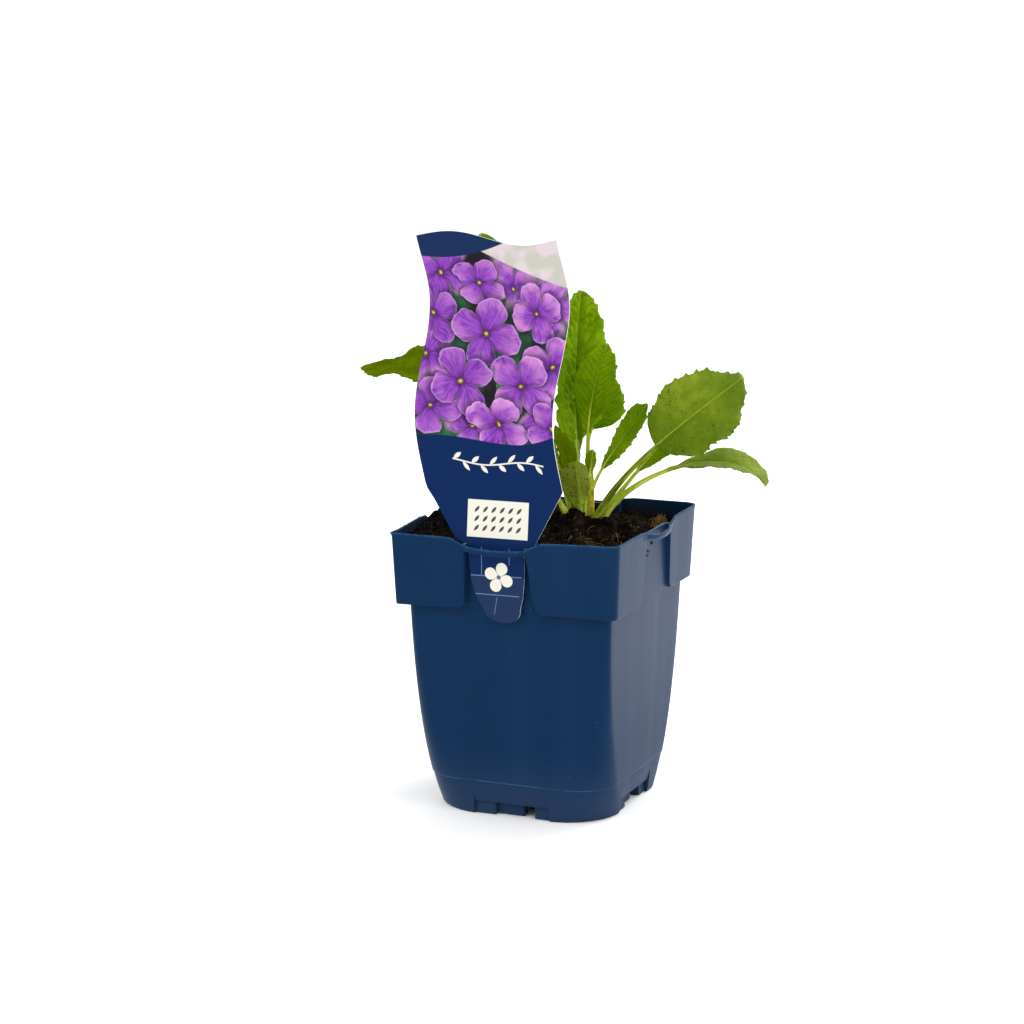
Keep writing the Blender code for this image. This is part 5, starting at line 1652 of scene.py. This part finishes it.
def build_leaf(name, leaf, material):
    """One leaf as a closed sheet: toothed and waved margins, sunken veins, a rounded midrib and stalk."""
    rng = random.Random(f"fine {name}")
    shares = leaf_rows(leaf)
    sunk = np.linspace(-1, 0, 5, endpoint=False)
    rows = len(shares) + len(sunk)
    points, along = midrib(leaf, shares)
    points = points + bow(name, shares)[:, None] * BOW_WAY
    first = along[0]
    points = np.concatenate([points[0] + sunk[:, None] * first * SUNK, points])
    along = np.concatenate([np.repeat(first[None, :], len(sunk), axis=0), along])
    s = np.concatenate([np.zeros(len(sunk)), shares])
    arc = np.concatenate([[0.0], np.cumsum(np.linalg.norm(np.diff(points, axis=0), axis=1))])

    heading = math.radians(leaf["heading"])
    side = np.array([math.sin(heading), -math.cos(heading), 0.0])
    side = side - along * (along @ side)[:, None]
    side /= np.linalg.norm(side, axis=1)[:, None]
    up = np.cross(side, along)
    turn = np.radians(leaf["roll"][0] * (1 - s) + leaf["roll"][1] * s)[:, None]
    across = side * np.cos(turn) + up * np.sin(turn)
    face = up * np.cos(turn) - side * np.sin(turn)

    run = (s - leaf["blade_from"]) / (1 - leaf["blade_from"])
    blade = blade_half(leaf, s) * (1 - TIP_NARROWING * ease((run - 0.84) / 0.15))
    stem_half = 0.0005 * leaf["petiole"] * (1 - s) + TIP_HALF * s
    half = blade + stem_half
    widest = leaf["width"] / 2000
    per_side = int(np.clip(round(widest / COLUMN_STEP), 8, 22))
    k = np.arange(-per_side, per_side + 1)
    t = np.sign(k) * (np.abs(k) / per_side)**1.3
    columns = len(t)
    out = half[:, None] * t[None, :]
    for key, stretch in SIDES.get(name, {}).items():
        wide = stem_half + blade * np.interp(run, *np.array(stretch).T)
        out = np.where(np.sign(t)[None, :] == key, wide[:, None] * t[None, :], out)
    away = np.abs(out)
    in_blade = np.clip(blade / (0.30 * widest), 0, 1)[:, None]

    fold = math.radians(leaf["fold"])
    lift = away * math.sin(fold) + leaf["cup"] * out**2 / (leaf["width"] / 1000)
    grow = min(1.0, leaf["width"] / 30)
    relief = RELIEF.get(name, 1.0)
    lift = lift + CREASE * grow * relief * (1 - np.exp(-(away / CREASE_RUN)**2)) * in_blade
    ripple = leaf["wave"] / 1000 * np.minimum(1.0, blade / (0.00015 * leaf["width"]))
    phase = np.where(t > 0, MARGIN_PHASE, 0.0)
    lift = lift + ripple[:, None] * np.abs(t)**1.5 * np.sin(6 * np.pi * s[:, None] + phase)
    ruffle = np.zeros((rows, columns))
    for _ in range(RUFFLES):
        wave = rng.uniform(0.008, 0.016)
        shift = np.where(t > 0, rng.uniform(0, 6.3), rng.uniform(0, 6.3))
        ruffle += np.sin(2 * np.pi * arc[:, None] / wave + shift) * rng.uniform(0.4, 1.0)
    lift = lift + RUFFLE_RISE * grow * ruffle * np.abs(t)**2.6 * in_blade

    spacing = np.clip(leaf["width"] / 6000, *VEIN_SPACING)
    start_arc = np.interp(leaf["blade_from"], s, arc)
    forward = 0.72 * away + 0.35 * away**2 / max(widest, 1e-4)
    wander = lattice_noise(noise_places(arc[:, None] / 0.011, out / 0.013, rng.uniform(0, 50)), 5)
    wander = wander.reshape(out.shape)
    vein = (arc[:, None] - start_arc - forward) / spacing + np.where(t > 0, 0.42, 0.0) + 0.42 * wander + 40
    pillow = np.abs(np.sin(np.pi * vein))**0.85
    keep = ease((away - 0.0007) / 0.0022) * ease((1 - np.abs(t)[None, :]) / 0.20) * in_blade
    bulge = BULGE_RISE * math.sqrt(grow) * rng.uniform(0.8, 1.1) * relief
    lift = lift + bulge * (pillow - 0.5) * keep
    spots = noise_places(out / PIT_CELL, arc[:, None] / PIT_CELL, rng.uniform(0, 90))
    pits = PIT_RISE * grow * fractal(spots, 2, 7).reshape(out.shape)
    lift = lift + pits * ease((away - 0.0005) / 0.002) * in_blade
    blisters = np.abs(lattice_noise(spots * PIT_CELL / BLISTER_SIZE + 7.3, 19).reshape(out.shape))**0.8
    lift = lift + BLISTER_RISE * grow * relief * (blisters - 0.35) * keep

    jut = margin_teeth(name, leaf, s)
    for key in jut:
        lobes = fractal(noise_places(arc / LOBE_CELL, 7.0 * key + 20, rng.uniform(0, 50)), 2, 13)
        nicks = lattice_noise(noise_places(arc / NICK_CELL, 5.0 * key, rng.uniform(0, 50)), 17)
        lobes = LOBES.get(name, 0.8) * LOBE_DEPTH * grow * lobes + NICK_DEPTH * np.maximum(nicks, -0.2)
        jut[key] = jut[key] + lobes * in_blade[:, 0]
    tooth = np.where(t[None, :] > 0, jut[1][:, None], jut[-1][:, None])
    tooth = tooth * ease((np.abs(t)[None, :] - 0.80) / 0.20)
    reach = out + np.sign(t)[None, :] * tooth
    sheet = points[:, None, :] + across[:, None, :] * (reach * math.cos(fold))[:, :, None]
    sheet = sheet + face[:, None, :] * lift[:, :, None] + along[:, None, :] * (tooth * 0.5)[:, :, None]

    by_row = np.gradient(sheet, axis=0)
    by_column = np.gradient(sheet, axis=1)
    normal = np.cross(by_column, by_row)
    normal /= np.maximum(np.linalg.norm(normal, axis=2), 1e-12)[:, :, None]
    flip = np.sign(np.einsum("ijk,ijk->ij", normal, np.broadcast_to(face[:, None, :], normal.shape)).sum())
    normal = normal * flip

    rib_half = np.minimum(stem_half * 1.05 + 0.00022, half)
    ratio = np.clip(away / rib_half[:, None], 0, 1)
    depth = STALK_DEPTH * leaf["petiole"] / 1000 * (1 - s)**1.5 + 0.00028 * (1 - s)
    swell = depth[:, None] * np.sqrt(np.maximum(1 - ratio**2.2, 0.0))
    channel = 0.16 * rib_half[:, None] * (1 - ratio**2) * (1 - 0.4 * in_blade)
    thin = 0.00023 - 0.00011 * np.abs(t)[None, :] * in_blade
    ridge = 0.00010 * min(1.0, relief) * (1 - pillow)**2 * keep
    top = sheet + normal * (thin - channel)[:, :, None]
    bottom = sheet - normal * (thin + swell + ridge)[:, :, None]

    points = np.concatenate([top.reshape(-1, 3), bottom.reshape(-1, 3)])
    item = new_piece(name + "_fine", points, [sheet_faces(rows, columns)], material, 180)

    line = (rib_half * (1 - 0.62 * ease((s - 0.32) / 0.38)))[:, None]
    rib = 1 - ease((away - 0.30 * line) / (0.8 * line + 0.0004))
    rib = np.maximum(rib, (1 - in_blade) * 0.95)
    run = np.broadcast_to(np.clip(run, 0, 1)[:, None], rib.shape)
    side_map = np.repeat([1.0, 0.0], rib.size)
    paint(item.data, "leaf_map", side_map, np.tile(rib.ravel(), 2), np.tile(run.ravel(), 2))
    lay_uv(item.data, "leaf_vein", vein, t[None, :])
    lay_uv(item.data, "leaf_net", out * NET_SCALE, arc[:, None] * NET_SCALE)
    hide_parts(name)
    return item


# Tag

def tag_middle(z):
    length = TAG_SWAY_LENGTHS[0] if z < TAG_CREST_Z else TAG_SWAY_LENGTHS[1]
    return TAG_MIDDLE_X + TAG_SWAY * math.cos(2 * math.pi * (z - TAG_CREST_Z) / length)


def tag_widening(z):
    """How far the right edge lies beyond the CAD's near the top."""
    return TAG_WIDENING * float(ease((z - TAG_CREST_Z + 0.016) / 0.020))


def tag_top(x):
    wave = TAG_TOP_WAVE * math.cos(2 * math.pi * (x - TAG_TOP_CREST_X) / TAG_TOP_WAVE_LENGTH)
    return TAG_TOP + wave + TAG_WIDENING * float(ease((x - 0.010) / 0.018))


def tag_rows():
    """The tag's left and right edge at each height, from the tongue's tip to just below its top."""
    levels = [TONGUE_TIP[1], *reversed(TONGUE_LEVELS), TAG_SHOULDER_Z]
    middles = [TONGUE_TIP[0], *reversed(TONGUE_MIDDLES), -0.0039]
    halves = [0.0, *reversed(TONGUE_HALVES), 0.0139]
    rows = []
    for z in TONGUE_TIP[1] + (TAG_SHOULDER_Z - TONGUE_TIP[1]) * (np.linspace(0, 1, 60)**1.7):
        middle = np.interp(z, levels, middles)
        half = np.interp(z, levels, halves)
        if z < TONGUE_LEVELS[4]:
            share = max(z - TONGUE_TIP[1], 0.0) / (TONGUE_LEVELS[4] - TONGUE_TIP[1])
            half = TONGUE_HALVES[4] * math.sqrt(max(1e-4, 1 - (1 - share)**2))
        rows.append((middle - half, middle + half, z))
    waist = tag_middle(TAG_WAIST_Z)
    heights = [TAG_SHOULDER_Z, TAG_LOW_LEFT[1][1], TAG_LOW_LEFT[0][1], TAG_WAIST_Z]
    lefts = [TAG_LEFT_SHOULDER[0], TAG_LOW_LEFT[1][0], TAG_LOW_LEFT[0][0], waist - TAG_HALF]
    for z in np.linspace(TAG_SHOULDER_Z, TAG_WAIST_Z, 40):
        right = np.interp(z, [TAG_SHOULDER_Z, TAG_WAIST_Z], [TAG_RIGHT_SHOULDER[1], waist + TAG_HALF])
        rows.append((np.interp(z, heights, lefts), right, z))
    for share in np.linspace(0, 1, 110)[1:]:
        z = TAG_WAIST_Z + (TAG_TOP - 0.003 - TAG_WAIST_Z) * share
        rows.append((tag_middle(z) - TAG_HALF, tag_middle(z) + TAG_HALF + tag_widening(z), z))
    return rows


def build_tag(print_material, core_material):
    """The card: its printed sides and its white cut edge."""
    share = np.linspace(0, 1, TAG_COLUMNS)
    rows = tag_rows()
    xs = [left + (right - left) * share for left, right, _ in rows]
    zs = [np.full(TAG_COLUMNS, z) for _, _, z in rows]
    last = rows[-1]
    top_left = tag_middle(TAG_TOP) - TAG_HALF
    top_right = tag_middle(TAG_TOP) + TAG_HALF + TAG_WIDENING
    for step in (0.34, 0.67, 1.0):
        left = last[0] + (top_left - last[0]) * step
        right = last[1] + (top_right - last[1]) * step
        x = left + (right - left) * share
        top = np.array([tag_top(value) for value in x])
        xs.append(x)
        zs.append(last[2] + (top - last[2]) * step)
    x = np.array(xs)
    z = np.array(zs)
    above = np.clip((z - TAG_SHOULDER_Z) / (TAG_TOP - TAG_SHOULDER_Z), 0, 1)
    off = (x - TAG_MIDDLE_X) / TAG_HALF
    bend = TAG_BOW * above * (1 - off**2) - TAG_TWIST * above * off
    sides = [np.stack([x, TAG_Y + way * TAG_THICKNESS / 2 + bend, z], axis=-1) for way in (-1, 1)]
    points = np.concatenate([side.reshape(-1, 3) for side in sides])
    item = new_piece("tag_fine", points, [sheet_faces(*x.shape)], print_material, 50)
    item.data.materials.append(core_material)
    for polygon in item.data.polygons:
        if abs(polygon.normal.y) < 0.5:
            polygon.material_index = 1
    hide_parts("plant_tag")
    return item


# Stage

def lamp(name, kind, place, aim, power):
    """A lamp at one place that shines at another."""
    light = bpy.data.lights.new(name, kind)
    light.energy = power
    item = placed(name, light)
    item.location = place
    item.rotation_euler = (Vector(aim) - Vector(place)).to_track_quat("-Z", "Y").to_euler()
    return light


def area_light(name, place, aim, size, power):
    light = lamp(name, "AREA", place, aim, power)
    light.shape = "SQUARE"
    light.size = size


def build_stage():
    """A plain white floor, a white surround, soft lights and the camera."""
    mesh = bpy.data.meshes.new("floor")
    corners = [(-4, -4, -0.0001), (4, -4, -0.0001), (4, 4, -0.0001), (-4, 4, -0.0001)]
    mesh.from_pydata(corners, [], [(0, 1, 2, 3)])
    floor = placed("floor", mesh)
    material, tree, shader = new_material("floor_white", 0.9, 0.1, (1, 1, 1))
    tree.put(shader.inputs["Base Color"], (0.96, 0.96, 0.96))
    mesh.materials.append(material)

    world = bpy.data.worlds.new("surround")
    bpy.context.scene.world = world
    world.use_nodes = True
    background = world.node_tree.nodes["Background"].inputs
    background["Color"].default_value = (1.0, 1.0, 1.0, 1.0)
    background["Strength"].default_value = 1.06

    area_light("key", (-0.75, -1.05, 1.15), (0.0, 0.0, 0.12), 0.8, 9.0)
    area_light("fill", (1.15, -0.25, 0.75), (0.0, 0.0, 0.12), 0.9, 3.0)
    area_light("back", (0.55, 1.25, 1.20), (0.42, 0.70, 0.0), 1.0, 18.0)
    pool = lamp("floor_pool", "SPOT", POOL_PLACE, POOL_AIM, POOL_POWER)
    pool.spot_size = math.radians(50)
    pool.spot_blend = 0.7
    pool.shadow_soft_size = 0.15

    camera = bpy.data.cameras.new("camera")
    camera.lens = CAMERA_LENS
    camera.sensor_width = 36.0
    item = placed("camera", camera)
    item.location = CAMERA_PLACE
    item.rotation_euler = (math.radians(CAMERA_RISE), 0.0, math.radians(CAMERA_TURN))
    bpy.context.scene.camera = item
    bpy.context.scene.view_settings.view_transform = "Standard"


def leaf_materials():
    """The material of each leaf: most are green, and seven have their own."""
    # The stalks' light colours are lighter than a real stalk's and stand in for the light and highlights on
    # them: painted light. The palest one, on leaf_03, is a painted highlight.
    stalk = ((0.460, 0.580, 0.020), (0.820, 0.870, 0.160))
    highlit_stalk = ((0.720, 0.780, 0.090), (0.920, 0.930, 0.400))
    bent_stalk = ((0.480, 0.600, 0.030), (0.780, 0.850, 0.180))
    # leaf_07's stalk colours are darkened: painted shade on its underside
    shaded_stalk = ((0.120, 0.200, 0.003), (0.520, 0.640, 0.030))
    dying = ((0.62, 0.46, 0.020), (0.80, 0.62, 0.080))
    blade = ((0.108, 0.225, 0.0008), (0.215, 0.355, 0.0015), (0.165, 0.270, 0.0060))
    green = leaf_material("leaf_green", (*blade, *stalk))
    highlit_rib_green = leaf_material("leaf_highlit_rib", (*blade, *highlit_stalk), lines=0.9)
    # A darker copy of the green, for leaf_01 and leaf_11: painted shade
    deep = ((0.066, 0.112, 0.0005), (0.125, 0.180, 0.0010), (0.110, 0.165, 0.0030))
    dark = leaf_material("leaf_shaded", (*deep, (0.130, 0.190, 0.002), (0.200, 0.270, 0.005)), specks=0.35,
                         clear=0.14, lines=0.3, specular=0.0)
    spotted = ((0.120, 0.198, 0.003), (0.240, 0.335, 0.012), (0.205, 0.265, 0.036))
    turning = leaf_material("leaf_turned", (*spotted, *shaded_stalk), specks=0.84, clear=0.22, lines=0.20,
                            specular=0.12, rib_end=0.80, rib_colour=(0.400, 0.520, 0.035),
                            fresh=(0.135, 0.235, 0.002))
    olive = ((0.140, 0.212, 0.004), (0.220, 0.305, 0.008), (0.175, 0.240, 0.014))
    bent = leaf_material("leaf_olive", (*olive, *bent_stalk), specks=0.76, clear=0.20, lines=0.12,
                         specular=0.10, rib_end=0.60, rib_colour=(0.400, 0.510, 0.040),
                         fresh=(0.300, 0.420, 0.012))
    muddy = ((0.165, 0.225, 0.006), (0.225, 0.285, 0.012), (0.170, 0.220, 0.010))
    dull = leaf_material("leaf_speckled", (*muddy, (0.150, 0.205, 0.008), (0.215, 0.270, 0.018)), specks=1.4,
                         clear=0.10, lines=0.15, specular=0.10, foot=(0.141, (0.300, 0.450, 0.022)))
    yellow = leaf_material("leaf_dying", (*dying, (0.62, 0.46, 0.03), *dying), spots=0.85, lines=0.3)
    special = {"leaf_01": dark, "leaf_11": dark, "leaf_03": highlit_rib_green, "leaf_07": turning,
               "leaf_08": bent, "leaf_09": dull, "leaf_15_yellowed": yellow}
    return {name: special.get(name, green) for name in LEAVES}


def main():
    build_stage()
    build_pot(pot_material())
    build_soil(soil_material())
    crumbs = crumb_material()
    build_crumbs(crumbs)
    build_fibres(crumbs)
    build_crown(crown_material())
    materials = leaf_materials()
    for name, leaf in LEAVES.items():
        build_leaf(name, leaf, materials[name])
    build_tag(tag_material(), card_material())


main()
bpy.context.view_layer.update()
